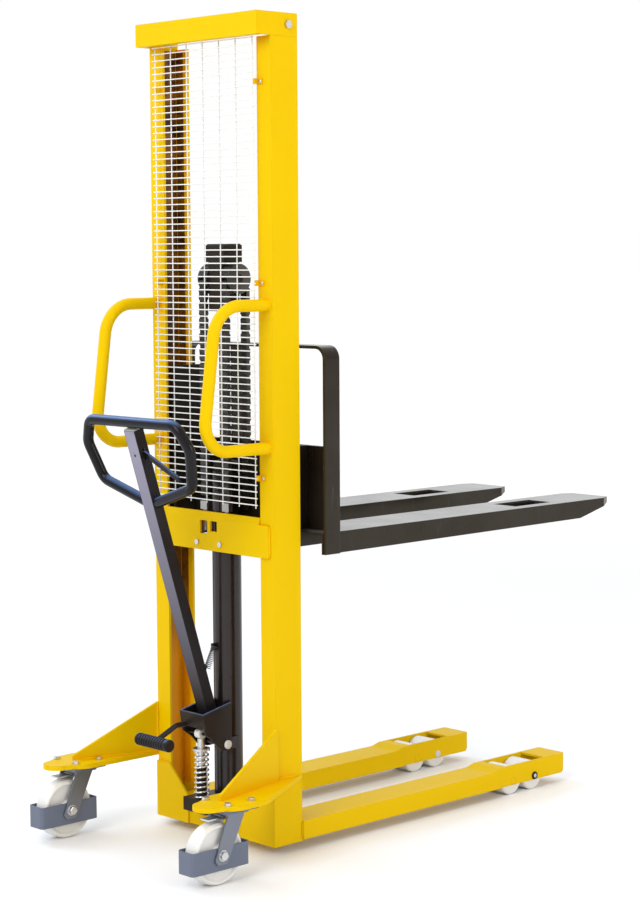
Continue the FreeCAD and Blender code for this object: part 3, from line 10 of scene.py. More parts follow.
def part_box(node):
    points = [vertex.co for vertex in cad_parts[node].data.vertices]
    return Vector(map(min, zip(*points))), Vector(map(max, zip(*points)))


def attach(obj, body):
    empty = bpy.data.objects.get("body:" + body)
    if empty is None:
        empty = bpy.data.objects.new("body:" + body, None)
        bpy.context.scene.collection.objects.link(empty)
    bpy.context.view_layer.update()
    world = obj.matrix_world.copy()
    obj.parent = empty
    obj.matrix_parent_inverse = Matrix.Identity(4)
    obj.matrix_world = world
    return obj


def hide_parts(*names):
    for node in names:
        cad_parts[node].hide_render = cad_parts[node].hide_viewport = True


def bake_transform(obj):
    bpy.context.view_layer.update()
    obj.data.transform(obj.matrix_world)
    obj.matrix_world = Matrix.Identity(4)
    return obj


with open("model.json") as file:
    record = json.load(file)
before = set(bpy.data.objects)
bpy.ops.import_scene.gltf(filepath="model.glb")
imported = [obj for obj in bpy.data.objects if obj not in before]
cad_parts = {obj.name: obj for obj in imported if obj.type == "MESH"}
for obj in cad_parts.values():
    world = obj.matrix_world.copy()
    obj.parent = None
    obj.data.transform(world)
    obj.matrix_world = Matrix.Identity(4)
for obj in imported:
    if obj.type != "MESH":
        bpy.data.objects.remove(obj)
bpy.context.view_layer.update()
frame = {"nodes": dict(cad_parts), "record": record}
nodes = frame["nodes"]
record = frame["record"]
slots = {entry["node"]: entry["material_slot"] for entry in record["subparts"]}
SCENE = bpy.context.scene
SCENE.view_settings.view_transform = "Standard"
SIDES = (("left", -1), ("right", 1))

# Sizes in millimetres, with Y = 0 on the mast's operator face, as in the part's drawings
MM = 0.001
FOOT_PLATE_T = 6
MAST_FACE_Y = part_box("mast_channel_right")[0][1] + FOOT_PLATE_T * MM
MAST_HALF = 231
MAST_DEPTH = 88
# The tiller's lean towards the operator and its pivot's height
LEAN = math.radians(17.2)
PIVOT_Z = 255


def at(x, y, z):
    """A place given in millimetres from the mast's operator face, in metres."""
    return Vector((x * MM, y * MM + MAST_FACE_Y, z * MM))


def on_tiller(x, along, off):
    """A place on the tiller: along its length from the pivot, off towards the forks."""
    y = -along * math.sin(LEAN) + off * math.cos(LEAN)
    z = PIVOT_Z + along * math.cos(LEAN) + off * math.sin(LEAN)
    return at(x, y, z)


# Shader parts
def add_node(tree, kind, **values):
    node = tree.nodes.new(kind)
    for key, value in values.items():
        setattr(node, key, value)
    return node


def ranged(tree, source, low, high, interpolation="LINEAR"):
    """Source's values from low to high, as a share from 0 to 1."""
    node = add_node(tree, "ShaderNodeMapRange", interpolation_type=interpolation)
    node.inputs["From Min"].default_value = low
    node.inputs["From Max"].default_value = high
    tree.links.new(source, node.inputs["Value"])
    return node.outputs["Result"]


def combined(tree, operation, *sources):
    node = add_node(tree, "ShaderNodeMath", operation=operation)
    for index, source in enumerate(sources):
        tree.links.new(source, node.inputs[index])
    return node.outputs[0]


def mixed(tree, share, under, over, blend="MIX"):
    """Over laid on under by share; each of the two is a colour or a socket."""
    node = add_node(tree, "ShaderNodeMix", data_type="RGBA", blend_type=blend)
    tree.links.new(share, node.inputs["Factor"])
    for name, source in (("A", under), ("B", over)):
        if isinstance(source, tuple):
            node.inputs[name].default_value = (*source, 1)
        else:
            tree.links.new(source, node.inputs[name])
    return node.outputs["Result"]


def height_in(tree):
    """The shaded point's height above the floor, in metres, with the part at rest."""
    apart = add_node(tree, "ShaderNodeSeparateXYZ")
    tree.links.new(add_node(tree, "ShaderNodeTexCoord").outputs["Object"], apart.inputs["Vector"])
    return apart.outputs["Z"]


WEAR_INPUTS = {"Patch Scale": 6.0, "Patch Amount": 0.1, "Scratch Scale": 60.0, "Scratch Amount": 0.1,
               "Roughness": 0.4, "Roughness Spread": 0.1, "Floor Dirt": 0.2}
PATCH_DETAIL = 6
PATCH_RANGE = (0.35, 0.75)
SCRATCH_DETAIL = 9
SCRATCH_ROUGHNESS = 0.7
SCRATCH_RANGE = (0.62, 0.8)
SCRATCH_STRETCH = (1.0, 1.0, 0.12)
SCRATCH_TURN = (0.3, 0.5, 0.2)
SCRATCH_COLOUR = (0.55, 0.54, 0.5)
DIRT_TOP_Z = 0.32


def make_wear_group():
    """Patchy dust, fine scratches and grime near the floor, shared by every finish."""
    group = bpy.data.node_groups.new("wear", "ShaderNodeTree")
    face = group.interface
    for name in ("Base", "Dirt"):
        face.new_socket(name, in_out="INPUT", socket_type="NodeSocketColor")
    for name, value in WEAR_INPUTS.items():
        face.new_socket(name, in_out="INPUT", socket_type="NodeSocketFloat").default_value = value
    face.new_socket("Color", in_out="OUTPUT", socket_type="NodeSocketColor")
    face.new_socket("Roughness", in_out="OUTPUT", socket_type="NodeSocketFloat")
    face.new_socket("Height", in_out="OUTPUT", socket_type="NodeSocketFloat")
    link = group.links.new
    given = add_node(group, "NodeGroupInput").outputs
    sink = add_node(group, "NodeGroupOutput").inputs
    place = add_node(group, "ShaderNodeTexCoord").outputs["Object"]

    patch = add_node(group, "ShaderNodeTexNoise")
    patch.inputs["Detail"].default_value = PATCH_DETAIL
    link(place, patch.inputs["Vector"])
    link(given["Patch Scale"], patch.inputs["Scale"])
    patches = ranged(group, patch.outputs["Fac"], *PATCH_RANGE)

    stretch = add_node(group, "ShaderNodeMapping")
    stretch.inputs["Scale"].default_value = SCRATCH_STRETCH
    stretch.inputs["Rotation"].default_value = SCRATCH_TURN
    link(place, stretch.inputs["Vector"])
    scratch = add_node(group, "ShaderNodeTexNoise")
    scratch.inputs["Detail"].default_value = SCRATCH_DETAIL
    scratch.inputs["Roughness"].default_value = SCRATCH_ROUGHNESS
    link(stretch.outputs["Vector"], scratch.inputs["Vector"])
    link(given["Scratch Scale"], scratch.inputs["Scale"])
    marks = ranged(group, scratch.outputs["Fac"], *SCRATCH_RANGE)

    near_floor = ranged(group, height_in(group), DIRT_TOP_Z, 0.0)
    dirt = combined(group, "MAXIMUM", combined(group, "MULTIPLY", near_floor, given["Floor Dirt"]),
                    combined(group, "MULTIPLY", patches, given["Patch Amount"]))
    dirty = mixed(group, dirt, given["Base"], given["Dirt"])
    marked = combined(group, "MULTIPLY", marks, given["Scratch Amount"])
    link(mixed(group, marked, dirty, SCRATCH_COLOUR, "SCREEN"), sink["Color"])
    link(combined(group, "MULTIPLY_ADD", patches, given["Roughness Spread"], given["Roughness"]),
         sink["Roughness"])
    link(scratch.outputs["Fac"], sink["Height"])
    return group


WEAR = make_wear_group()

# Painted light: the faces that look one way take a painted highlight, reflection or shade of their own:
# the heights in metres between which it comes in, and the least and full share of the direction
Facing = namedtuple("Facing", "way shade start_z full_z least most")
ANY_HEIGHT = (0.0, 0.01)
EVERY_WAY = (-2, -1)
UP = (0, 0, 1)
UP_AND_LEFT = (-0.2, -0.2, 0.96)
TILLER_FRONT = (0, -math.cos(LEAN), -math.sin(LEAN))
PAINTED_LIGHT_ROUND = 2.5
ROUND_SAMPLES = 4
# Painted bounce light and shade in sheltered corners: occlusion samples, reach in metres, the occlusion range
# it spans, and the heights in metres over which it comes in
CORNER_LIGHT_SAMPLES = 6
CORNER_LIGHT_REACH = 0.11
CORNER_LIGHT_RANGE = (0.56, 0.24)
CORNER_LIGHT_HEIGHTS = (0.09, 0.18)
BUMP_DEPTH = 0.002


def rounded_normal(tree, radius):
    bevel = add_node(tree, "ShaderNodeBevel", samples=ROUND_SAMPLES)
    bevel.inputs["Radius"].default_value = radius * MM
    return bevel.outputs["Normal"]


def painted_light_share(tree, painted_light, edge):
    """How far a point looks the way of its painted highlight, reflection or shade, on edges rounded by edge
    millimetres.
    """
    if edge:
        own = add_node(tree, "ShaderNodeVectorTransform", vector_type="NORMAL", convert_from="WORLD",
                       convert_to="OBJECT")
        tree.links.new(rounded_normal(tree, PAINTED_LIGHT_ROUND * edge), own.inputs["Vector"])
        normal = own.outputs["Vector"]
    else:
        normal = add_node(tree, "ShaderNodeTexCoord").outputs["Normal"]
    along = add_node(tree, "ShaderNodeVectorMath", operation="DOT_PRODUCT")
    tree.links.new(normal, along.inputs[0])
    along.inputs[1].default_value = painted_light.way
    turned = ranged(tree, along.outputs["Value"], painted_light.least, painted_light.most, "SMOOTHSTEP")
    return combined(tree, "MULTIPLY", turned, ranged(tree, height_in(tree), painted_light.start_z, painted_light.full_z))


def painted_corner_light_share(tree):
    """The share of painted bounce light and shade for a point deep in a corner or recess, above the floor's
    own shade.
    """
    occlusion = add_node(tree, "ShaderNodeAmbientOcclusion", samples=CORNER_LIGHT_SAMPLES)
    occlusion.inputs["Distance"].default_value = CORNER_LIGHT_REACH
    return combined(tree, "MULTIPLY", ranged(tree, occlusion.outputs["AO"], *CORNER_LIGHT_RANGE),
                    ranged(tree, height_in(tree), *CORNER_LIGHT_HEIGHTS))


def finish(name, base, roughness, dirt, metallic=0.0, bump=0.02, edge=1.2, spec=0.5, tint=(1, 1, 1),
           painted_corner_light=None, painted_light=None, **wear):
    """A worn finish with painted light where asked: base colour, gloss, rounded edges in millimetres, and how
    the shared wear shows on it.

    The corner colour, if given, is painted bounce light and shade laid into sheltered corners, and the
    one-way colour, if given, a painted highlight, reflection or shade on the faces that look one way.
    """
    material = bpy.data.materials.new(name)
    material.use_nodes = True
    tree = material.node_tree
    shader = tree.nodes["Principled BSDF"].inputs
    shader["Metallic"].default_value = metallic
    shader["Specular IOR Level"].default_value = spec
    shader["Specular Tint"].default_value = (*tint, 1)
    group = add_node(tree, "ShaderNodeGroup", node_tree=WEAR)
    group.inputs["Base"].default_value = (*base, 1)
    group.inputs["Dirt"].default_value = (*dirt, 1)
    group.inputs["Roughness"].default_value = roughness
    for key, value in wear.items():
        group.inputs[key.replace("_", " ").title()].default_value = value
    colour = group.outputs["Color"]
    # Painted highlight, reflection or shade on the faces that look one way
    if painted_light:
        colour = mixed(tree, painted_light_share(tree, painted_light, edge), colour, painted_light.shade)
    # Painted bounce light and shade in sheltered corners
    if painted_corner_light:
        colour = mixed(tree, painted_corner_light_share(tree), colour, painted_corner_light)
    tree.links.new(colour, shader["Base Color"])
    tree.links.new(group.outputs["Roughness"], shader["Roughness"])
    ridge = add_node(tree, "ShaderNodeBump")
    ridge.inputs["Strength"].default_value = bump
    ridge.inputs["Distance"].default_value = BUMP_DEPTH
    tree.links.new(group.outputs["Height"], ridge.inputs["Height"])
    if edge:
        tree.links.new(rounded_normal(tree, edge), ridge.inputs["Normal"])
    tree.links.new(ridge.outputs["Normal"], shader["Normal"])
    return material


# Paints and grease, some with painted highlights, reflections, bounce light and shade
# Yellow paint, deeper orange in random patches and towards the floor; sheltered corners take painted orange
# bounce light and shade
YELLOW = finish("yellow_paint", (0.725, 0.472, 0.0), 0.34, dirt=(0.58, 0.27, 0.0), edge=1.6, spec=0.05,
                painted_corner_light=(0.94, 0.33, 0.0), patch_amount=0.10, scratch_amount=0.012, floor_dirt=0.10)
# Dark grease; from 0.66 m down it fades into painted orange bounce light, which fills the channel below 0.44
# m
GREASE_AND_PAINTED_BOUNCE = finish("track_grease_and_painted_bounce", (0.030, 0.011, 0.003), 0.30, dirt=(0.40, 0.15, 0.004), bump=0.10, edge=0,
                spec=0.4, painted_light=Facing(UP, (0.72, 0.30, 0.0), 0.66, 0.44, *EVERY_WAY),
                patch_amount=0.85, patch_scale=26.0, scratch_amount=0.05)
BLACK = finish("black_paint", (0.016, 0.011, 0.007), 0.34, dirt=(0.055, 0.045, 0.035), bump=0.03, edge=1.4,
               spec=0.17, tint=(1, 0.88, 0.72), patch_amount=0.25, scratch_amount=0.06)
# Glossy black forks, front plate and backrest; the light grey on upward faces, dark at the rounded edges, is
# a painted sheen of reflected light
FORK_BLACK = finish("fork_black_painted_sheen", (0.014, 0.010, 0.006), 0.16, dirt=(0.05, 0.044, 0.036), bump=0.015,
                    edge=3.0, spec=0.30, tint=(1, 0.92, 0.78),
                    painted_light=Facing(UP, (0.18, 0.18, 0.18), *ANY_HEIGHT, 0.8, 0.99),
                    patch_amount=0.3, scratch_amount=0.08)
# Glossy black coating; the blue on faces turned up and to the left is a painted reflection of bluish light
# from above
GLOSS_BLACK = finish("loop_coating", (0.006, 0.005, 0.006), 0.20, dirt=(0.025, 0.027, 0.034), edge=0,
                     spec=0.18, painted_light=Facing(UP_AND_LEFT, (0.065, 0.125, 0.29), *ANY_HEIGHT, 0.42, 0.95),
                     patch_amount=0.2, scratch_amount=0.04)
# Black tiller tube; the grey-violet on its front face, stronger higher up, is a painted reflection
TILLER_BLACK_AND_SHEEN = finish("tiller_paint_and_sheen", (0.012, 0.010, 0.010), 0.30, dirt=(0.05, 0.05, 0.06), bump=0.03,
                   spec=0.12, tint=(0.95, 0.92, 1.0),
                   painted_light=Facing(TILLER_FRONT, (0.26, 0.25, 0.32), 0.34, 1.02, 0.8, 0.98),
                   patch_amount=0.25, scratch_amount=0.08)
# Black yoke; the blue on the rim's upward faces is a painted highlight
YOKE_BLACK = finish("yoke_paint_and_highlight", (0.012, 0.009, 0.008), 0.28, dirt=(0.05, 0.04, 0.03), bump=0.03, edge=2.4,
                    spec=0.26, tint=(1, 0.9, 0.8),
                    painted_light=Facing(UP, (0.09, 0.13, 0.24), 0.325, 0.338, 0.3, 0.9),
                    patch_amount=0.25, scratch_amount=0.06)
CYLINDER_BLACK = finish("cylinder_paint", (0.012, 0.009, 0.008), 0.17, dirt=(0.035, 0.026, 0.02), bump=0.012,
                        edge=1.0, spec=0.42, tint=(1, 0.92, 0.90), patch_amount=0.2, scratch_amount=0.04)
CASTER = finish("caster_paint", (0.115, 0.14, 0.205), 0.36, dirt=(0.16, 0.15, 0.14), bump=0.03, edge=0.8,
                spec=0.3, patch_amount=0.25, scratch_amount=0.08)

# Bare metals
ZINC = finish("zinc_steel", (0.66, 0.67, 0.69), 0.3, dirt=(0.35, 0.33, 0.3), metallic=1.0, bump=0.03,
              edge=0.6, patch_amount=0.2)
CHROME = finish("bright_steel", (0.74, 0.74, 0.76), 0.12, dirt=(0.35, 0.34, 0.32), metallic=1.0, bump=0.01,
                edge=0, patch_amount=0.15)
CHAIN_STEEL = finish("chain_steel", (0.10, 0.092, 0.085), 0.38, dirt=(0.03, 0.022, 0.014), metallic=0.8,
                     bump=0.04, edge=0, patch_amount=0.5)
FORK_ZINC = finish("caster_zinc", (0.19, 0.21, 0.26), 0.30, dirt=(0.24, 0.23, 0.22), metallic=0.8, bump=0.03,
                   edge=0.8, patch_amount=0.3, scratch_amount=0.08)
DULL_ZINC = finish("dull_zinc", (0.40, 0.39, 0.37), 0.34, dirt=(0.12, 0.10, 0.08), metallic=1.0, bump=0.03,
                   edge=0.6, patch_amount=0.4)
SPRING_STEEL = finish("spring_steel", (0.13, 0.13, 0.145), 0.30, dirt=(0.10, 0.09, 0.08), metallic=1.0,
                      edge=0, patch_amount=0.3)

# Plastics and rubber
WIRE_WHITE = finish("white_wire", (0.80, 0.80, 0.78), 0.38, dirt=(0.5, 0.48, 0.44), edge=0,
                    patch_amount=0.12, scratch_amount=0.03)
NYLON = finish("white_nylon", (0.80, 0.79, 0.76), 0.36, dirt=(0.45, 0.41, 0.34), bump=0.03, edge=0.8,
               patch_amount=0.18, scratch_amount=0.04, floor_dirt=0.25)
RUBBER = finish("black_rubber", (0.012, 0.012, 0.014), 0.36, dirt=(0.08, 0.075, 0.07), bump=0.05, edge=0,
                patch_amount=0.25, scratch_amount=0.04)
# Black pedal rubber; the blue on the ribs' faces turned up and to the left is a painted highlight
PEDAL_RUBBER = finish("pedal_rubber_and_highlight", (0.007, 0.006, 0.006), 0.34, dirt=(0.06, 0.055, 0.05), bump=0.04,
                      edge=0, spec=0.2,
                      painted_light=Facing(UP_AND_LEFT, (0.04, 0.07, 0.15), *ANY_HEIGHT, 0.6, 0.98),
                      patch_amount=0.2, scratch_amount=0.03)
PLUG_GREY = finish("plug_plastic", (0.30, 0.33, 0.29), 0.45, dirt=(0.2, 0.19, 0.16), bump=0.03, edge=0.6,
                   patch_amount=0.2)

# The finish of each slot, and the nodes that have one of their own
looks = {"yellow_paint": YELLOW, "black_paint": BLACK, "loop_coating": GLOSS_BLACK, "white_wire": WIRE_WHITE,
         "zinc_steel": ZINC, "bright_steel": CHROME, "chain_steel": CHAIN_STEEL, "black_rubber": RUBBER,
         "white_nylon": NYLON, "caster_paint": CASTER}
special = {"fork_left": FORK_BLACK, "fork_right": FORK_BLACK, "carriage_front_plate": FORK_BLACK,
           "backrest": FORK_BLACK, "tiller_tube": TILLER_BLACK_AND_SHEEN, "tiller_yoke": YOKE_BLACK,
           "lift_cylinder": CYLINDER_BLACK, "chain_anchor_bolts": DULL_ZINC,
           "caster_fork_left": FORK_ZINC, "caster_fork_right": FORK_ZINC}
for node_name, slot_name in slots.items():
    paints = nodes[node_name].data.materials
    paints.clear()
    paints.append(special.get(node_name, looks[slot_name]))


# Geometry helpers
def new_piece(name, mesh, material):
    if not mesh.materials:
        mesh.materials.append(material)
    piece = bpy.data.objects.new(name, mesh)
    SCENE.collection.objects.link(piece)
    return piece


def mesh_from(bm, name, smooth=True):
    mesh = bpy.data.meshes.new(name)
    bm.to_mesh(mesh)
    bm.free()
    for polygon in mesh.polygons:
        polygon.use_smooth = smooth
    return mesh


def make_repeat_group():
    """Repeats the incoming piece along a line of points."""
    group = bpy.data.node_groups.new("repeat", "GeometryNodeTree")
    face = group.interface
    for name, kind in (("Geometry", "Geometry"), ("Count", "Int"), ("Start", "Vector"), ("Step", "Vector"),
                       ("Material", "Material")):
        face.new_socket(name, in_out="INPUT", socket_type="NodeSocket" + kind)
    face.new_socket("Geometry", in_out="OUTPUT", socket_type="NodeSocketGeometry")
    link = group.links.new
    given = add_node(group, "NodeGroupInput").outputs
    sink = add_node(group, "NodeGroupOutput")
    line = add_node(group, "GeometryNodeMeshLine", mode="OFFSET")
    link(given["Count"], line.inputs["Count"])
    link(given["Start"], line.inputs["Start Location"])
    link(given["Step"], line.inputs["Offset"])
    copies = add_node(group, "GeometryNodeInstanceOnPoints")
    link(line.outputs["Mesh"], copies.inputs["Points"])
    link(given["Geometry"], copies.inputs["Instance"])
    real = add_node(group, "GeometryNodeRealizeInstances")
    link(copies.outputs["Instances"], real.inputs["Geometry"])
    painted = add_node(group, "GeometryNodeSetMaterial")
    link(real.outputs["Geometry"], painted.inputs["Geometry"])
    link(given["Material"], painted.inputs["Material"])
    link(painted.outputs["Geometry"], sink.inputs["Geometry"])
    return group


REPEAT = make_repeat_group()


def repeated(name, mesh, material, count, start, step):
    """A plain mesh of count copies of mesh, the first at start and each a step further, in metres."""
    seed = bpy.data.objects.new(name + "_seed", mesh)
    SCENE.collection.objects.link(seed)
    modifier = seed.modifiers.new("repeat", "NODES")
    modifier.node_group = REPEAT
    values = {"Count": count, "Start": start, "Step": step, "Material": material}
    for item in REPEAT.interface.items_tree:
        if item.in_out == "INPUT" and item.name in values:
            modifier[item.identifier] = values[item.name]
    bpy.context.view_layer.update()
    ready = seed.evaluated_get(bpy.context.evaluated_depsgraph_get())
    baked = bpy.data.meshes.new_from_object(ready)
    seed.modifiers.clear()
    bpy.data.objects.remove(seed)
    return new_piece(name, baked, material)


def add_ring(bm, centre, side, other, radius, sides):
    angles = [2 * math.pi * step / sides for step in range(sides)]
    return [bm.verts.new(centre + (side * math.cos(angle) + other * math.sin(angle)) * radius)
            for angle in angles]


def add_skin(bm, rings):
    """Faces between neighbouring rings of points, and a cap on the first and last."""
    for first, second in zip(rings, rings[1:]):
        count = len(first)
        for step in range(count):
            following = (step + 1) % count
            bm.faces.new((first[step], first[following], second[following], second[step]))
    bm.faces.new(list(reversed(rings[0])))
    bm.faces.new(rings[-1])


def skinned(bm, rings, name):
    add_skin(bm, rings)
    bmesh.ops.recalc_face_normals(bm, faces=bm.faces)
    return mesh_from(bm, name)


def tube_mesh(name, points, radius, sides=10):
    """A round tube that follows points, with closed ends."""
    bm = bmesh.new()
    rings = []
    neighbours = zip(points[:1] + points[:-1], points[1:] + points[-1:])
    headings = [(after - before).normalized() for before, after in neighbours]
    side = headings[0].orthogonal().normalized()
    for point, heading in zip(points, headings):
        side = (side - heading * side.dot(heading)).normalized()
        rings.append(add_ring(bm, point, side, heading.cross(side), radius, sides))
    add_skin(bm, rings)
    return mesh_from(bm, name)


def lathe_mesh(name, profile, centre, axis, sides=40):
    """A turned piece: profile holds (distance along axis, radius) pairs in millimetres."""
    axis = Vector(axis).normalized()
    side = axis.orthogonal().normalized()
    other = axis.cross(side)
    bm = bmesh.new()
    rings = [add_ring(bm, centre + axis * (along * MM), side, other, radius * MM, sides)
             for along, radius in profile]
    return skinned(bm, rings, name)


# Wire guard: welded round wires, cross wires in front of the uprights
GUARD_HALF = 189
WIRE_END = 194
GUARD_Y = -19.5
GUARD_Z0 = 872
GUARD_Z1 = 2023
WIRE_R = 1.5
WIRE_SIDES = 8
WIRE_LAP = 2.6
UPRIGHTS = 7
EDGE_INSET = 3
FIRST_CROSS_Z = 881
CROSS_WIRES = 70


def make_guard():
    first_x = -(GUARD_HALF - EDGE_INSET)
    pitch_x = -2 * first_x / (UPRIGHTS - 1)
    pitch_z = (GUARD_Z1 - EDGE_INSET - FIRST_CROSS_Z) / (CROSS_WIRES - 1)
    cross_y = GUARD_Y - WIRE_LAP
    upright = tube_mesh("upright", [at(0, GUARD_Y, GUARD_Z0), at(0, GUARD_Y, GUARD_Z1)], WIRE_R * MM,
                        WIRE_SIDES)
    uprights = repeated("guard_uprights", upright, WIRE_WHITE, UPRIGHTS,
                        (first_x * MM, 0, 0), (pitch_x * MM, 0, 0))
    cross_wire = tube_mesh("cross_wire", [at(-WIRE_END, cross_y, 0), at(WIRE_END, cross_y, 0)], WIRE_R * MM,
                           WIRE_SIDES)
    cross_wires = repeated("guard_cross_wires", cross_wire, WIRE_WHITE, CROSS_WIRES,
                           (0, 0, FIRST_CROSS_Z * MM), (0, 0, pitch_z * MM))
    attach(uprights, "mast")
    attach(cross_wires, "mast")
    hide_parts("mesh_guard")


make_guard()

# Leaf chains: interleaved waisted plates on pins
CHAIN_X = 42
CHAIN_PITCH = 19.1
PLATE_T = 2.5
PLATE_END_R = 6.9
PLATE_END_STEPS = 5
PLATE_WAIST = 5.0
PLATE_STEP = 2.62
OUTER_LACE = (-4, -2, 0, 2, 4)
INNER_LACE = (-3, -1, 1, 3)
PIN_HALF = 12.3
PIN_R = 2.8
PIN_SIDES = 10
FRONT_Y = 12
BACK_Y = 78
SHEAVE_Y = 45
SHEAVE_Z = 1436
SHEAVE_R = 33
CHAIN_LOW_Z = 872
TURN_LINKS = 3


def plate_outline():
    """The outline of a waisted chain plate over two pins, as (y, z) pairs."""
    points = []
    for end, start, waist in ((CHAIN_PITCH, 20, -PLATE_WAIST), (0, 200, PLATE_WAIST)):
        for step in range(PLATE_END_STEPS + 1):
            angle = math.radians(start + 140 * step / PLATE_END_STEPS)
            points.append((PLATE_END_R * math.cos(angle), end + PLATE_END_R * math.sin(angle)))
        points.append((waist, CHAIN_PITCH / 2))
    return points


def link_mesh(name, place):
    """One pitch pair of chain: place(x, y, z) carries the flat plates onto the chain's run."""
    bm = bmesh.new()
    for lace, low in ((OUTER_LACE, 0), (INNER_LACE, CHAIN_PITCH)):
        for lane in lace:
            faces_x = (lane * PLATE_STEP - PLATE_T / 2, lane * PLATE_STEP + PLATE_T / 2)
            add_skin(bm, [[bm.verts.new(place(x, y, z + low)) for y, z in plate_outline()] for x in faces_x])
    angles = [2 * math.pi * step / PIN_SIDES for step in range(PIN_SIDES)]
    for pin_z in (0, CHAIN_PITCH):
        add_skin(bm, [[bm.verts.new(place(x, PIN_R * math.cos(angle), pin_z + PIN_R * math.sin(angle)))
                       for angle in angles] for x in (-PIN_HALF, PIN_HALF)])
    bmesh.ops.recalc_face_normals(bm, faces=bm.faces)
    return mesh_from(bm, name, smooth=False)


def make_strand(label, x, run, y):
    """A straight run of chain between its low end and the rod's head."""
    pairs = int((SHEAVE_Z - CHAIN_LOW_Z) // (2 * CHAIN_PITCH))
    low = SHEAVE_Z - CHAIN_PITCH / 2 - pairs * 2 * CHAIN_PITCH
    unit = link_mesh(f"{run}_link", lambda dx, dy, z: at(x + dx, y + dy, z))
    strand = repeated(f"chain_{run}_{label}", unit, CHAIN_STEEL, pairs,
                      (0, 0, low * MM), (0, 0, 2 * CHAIN_PITCH * MM))
    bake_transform(strand)
    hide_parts(f"{run}_chains")


def make_turn(label, x):
    """The stretch of chain over its sheave."""
    bm = bmesh.new()
    for turn in range(TURN_LINKS):
        middle = math.pi * (turn + 0.5) / TURN_LINKS

        def curved(dx, dy, z):
            angle = middle - (z - CHAIN_PITCH / 2) / SHEAVE_R
            reach = SHEAVE_R + dy
            return at(x + dx, SHEAVE_Y + reach * math.cos(angle), SHEAVE_Z + reach * math.sin(angle))

        bm.from_mesh(link_mesh("turn_link", curved))
    chain_turn = mesh_from(bm, "chain_turn", smooth=False)
    wrap = new_piece(f"chain_turn_{label}", chain_turn, CHAIN_STEEL)
    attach(wrap, "rod")
    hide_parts("chain_wraps")


for label, sign in SIDES:
    make_strand(label, sign * CHAIN_X, "front", FRONT_Y)
    make_strand(label, sign * CHAIN_X, "back", BACK_Y)
    make_turn(label, sign * CHAIN_X)

# Foot pedal: ribbed rubber sleeve
PEDAL_RIBS = 11
PLAIN_END = 9
PLAIN_FAR_END = 8
END_ROUND = 2
# A rib and the groove before it, as shares of the rib's pitch and of the sleeve's radius
RIB_PROFILE = ((0.08, 0.82), (0.40, 0.82), (0.52, 0.97), (0.66, 1), (0.82, 1), (0.96, 0.97))
END_HOLE = 0.55
END_RIM = 0.9


def make_pedal():
    low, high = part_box("pedal_grip")
    radius = (high[2] - low[2]) / 2 / MM
    half = (high[0] - low[0]) / 2 / MM
    centre = Vector([(a + b) / 2 for a, b in zip(low, high)])
    rib_pitch = (2 * half - 2 * PLAIN_END) / PEDAL_RIBS
    profile = [(-half, radius * END_HOLE), (-half, radius * END_RIM), (-half + END_ROUND, radius),
               (-half + PLAIN_END, radius)]
    for rib in range(PEDAL_RIBS):
        start = -half + PLAIN_END + rib * rib_pitch
        profile += [(start + share * rib_pitch, radius * size) for share, size in RIB_PROFILE]
    profile += [(half - PLAIN_FAR_END, radius), (half - END_ROUND, radius), (half, radius * END_RIM),
                (half, radius * END_HOLE)]
    sleeve = lathe_mesh("pedal_sleeve", profile, centre, (1, 0, 0))
    pedal = new_piece("pedal_sleeve", sleeve, PEDAL_RUBBER)
    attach(pedal, "tiller")
    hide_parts("pedal_grip")


make_pedal()

# Springs: the plunger's under the collar, the tiller's between its two lugs
STEPS_PER_TURN = 18
PLUNGER_Y = -47
PUMP_TOP_Z = 117
COLLAR_Z = 240
PLUNGER_COIL_R = 17.4
PLUNGER_COIL_TURNS = 9
PLUNGER_WIRE_R = 2.6
PLUNGER_COIL_GAP = 3.5
PLUNGER_LEAD = 5
PULL_X = 8
PULL_ALONG = 196
PULL_OFF = 27
PULL_LUG_Y = -6
PULL_LUG_Z = 503
PULL_COIL_R = 7.75
PULL_COIL_TURNS = 12.5
PULL_WIRE_R = 1.25
PULL_LEAD = 9.5


def coil_points(low, high, radius, turns, lead):
    """The middle line of a round-wire spring from low to high, with a straight lead at each end."""
    turned = Vector((0, 0, 1)).rotation_difference(high - low)
    last = 2 * math.pi * turns
    slope = (high - low).length / last

    def place(angle):
        return Vector((radius * math.sin(angle), -radius * math.cos(angle), slope * angle))

    def heading(angle):
        return Vector((radius * math.cos(angle), radius * math.sin(angle), slope)).normalized()

    steps = int(STEPS_PER_TURN * turns)
    points = [place(0) - heading(0) * lead]
    points += [place(last * step / steps) for step in range(steps + 1)]
    points.append(place(last) + heading(last) * lead)
    return [low + turned @ point for point in points]


def make_springs():
    pump_top = at(0, PLUNGER_Y, PUMP_TOP_Z)
    collar = at(0, PLUNGER_Y, COLLAR_Z)
    gap = Vector((0, 0, PLUNGER_COIL_GAP * MM))
    line = coil_points(pump_top + gap, collar - gap, PLUNGER_COIL_R * MM, PLUNGER_COIL_TURNS,
                       PLUNGER_LEAD * MM)
    coil = tube_mesh("plunger_coil", line, PLUNGER_WIRE_R * MM)
    plunger_coil = new_piece("plunger_coil", coil, CHROME)
    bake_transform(plunger_coil)
    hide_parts("plunger_spring")

    lower_lug = on_tiller(PULL_X, PULL_ALONG, PULL_OFF)
    upper_lug = at(PULL_X, PULL_LUG_Y, PULL_LUG_Z)
    line = coil_points(lower_lug, upper_lug, PULL_COIL_R * MM, PULL_COIL_TURNS, PULL_LEAD * MM)
    coil = tube_mesh("tiller_coil", line, PULL_WIRE_R * MM, WIRE_SIDES)
    tiller_coil = new_piece("tiller_coil", coil, SPRING_STEEL)
    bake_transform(tiller_coil)
    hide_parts("tiller_spring")


make_springs()


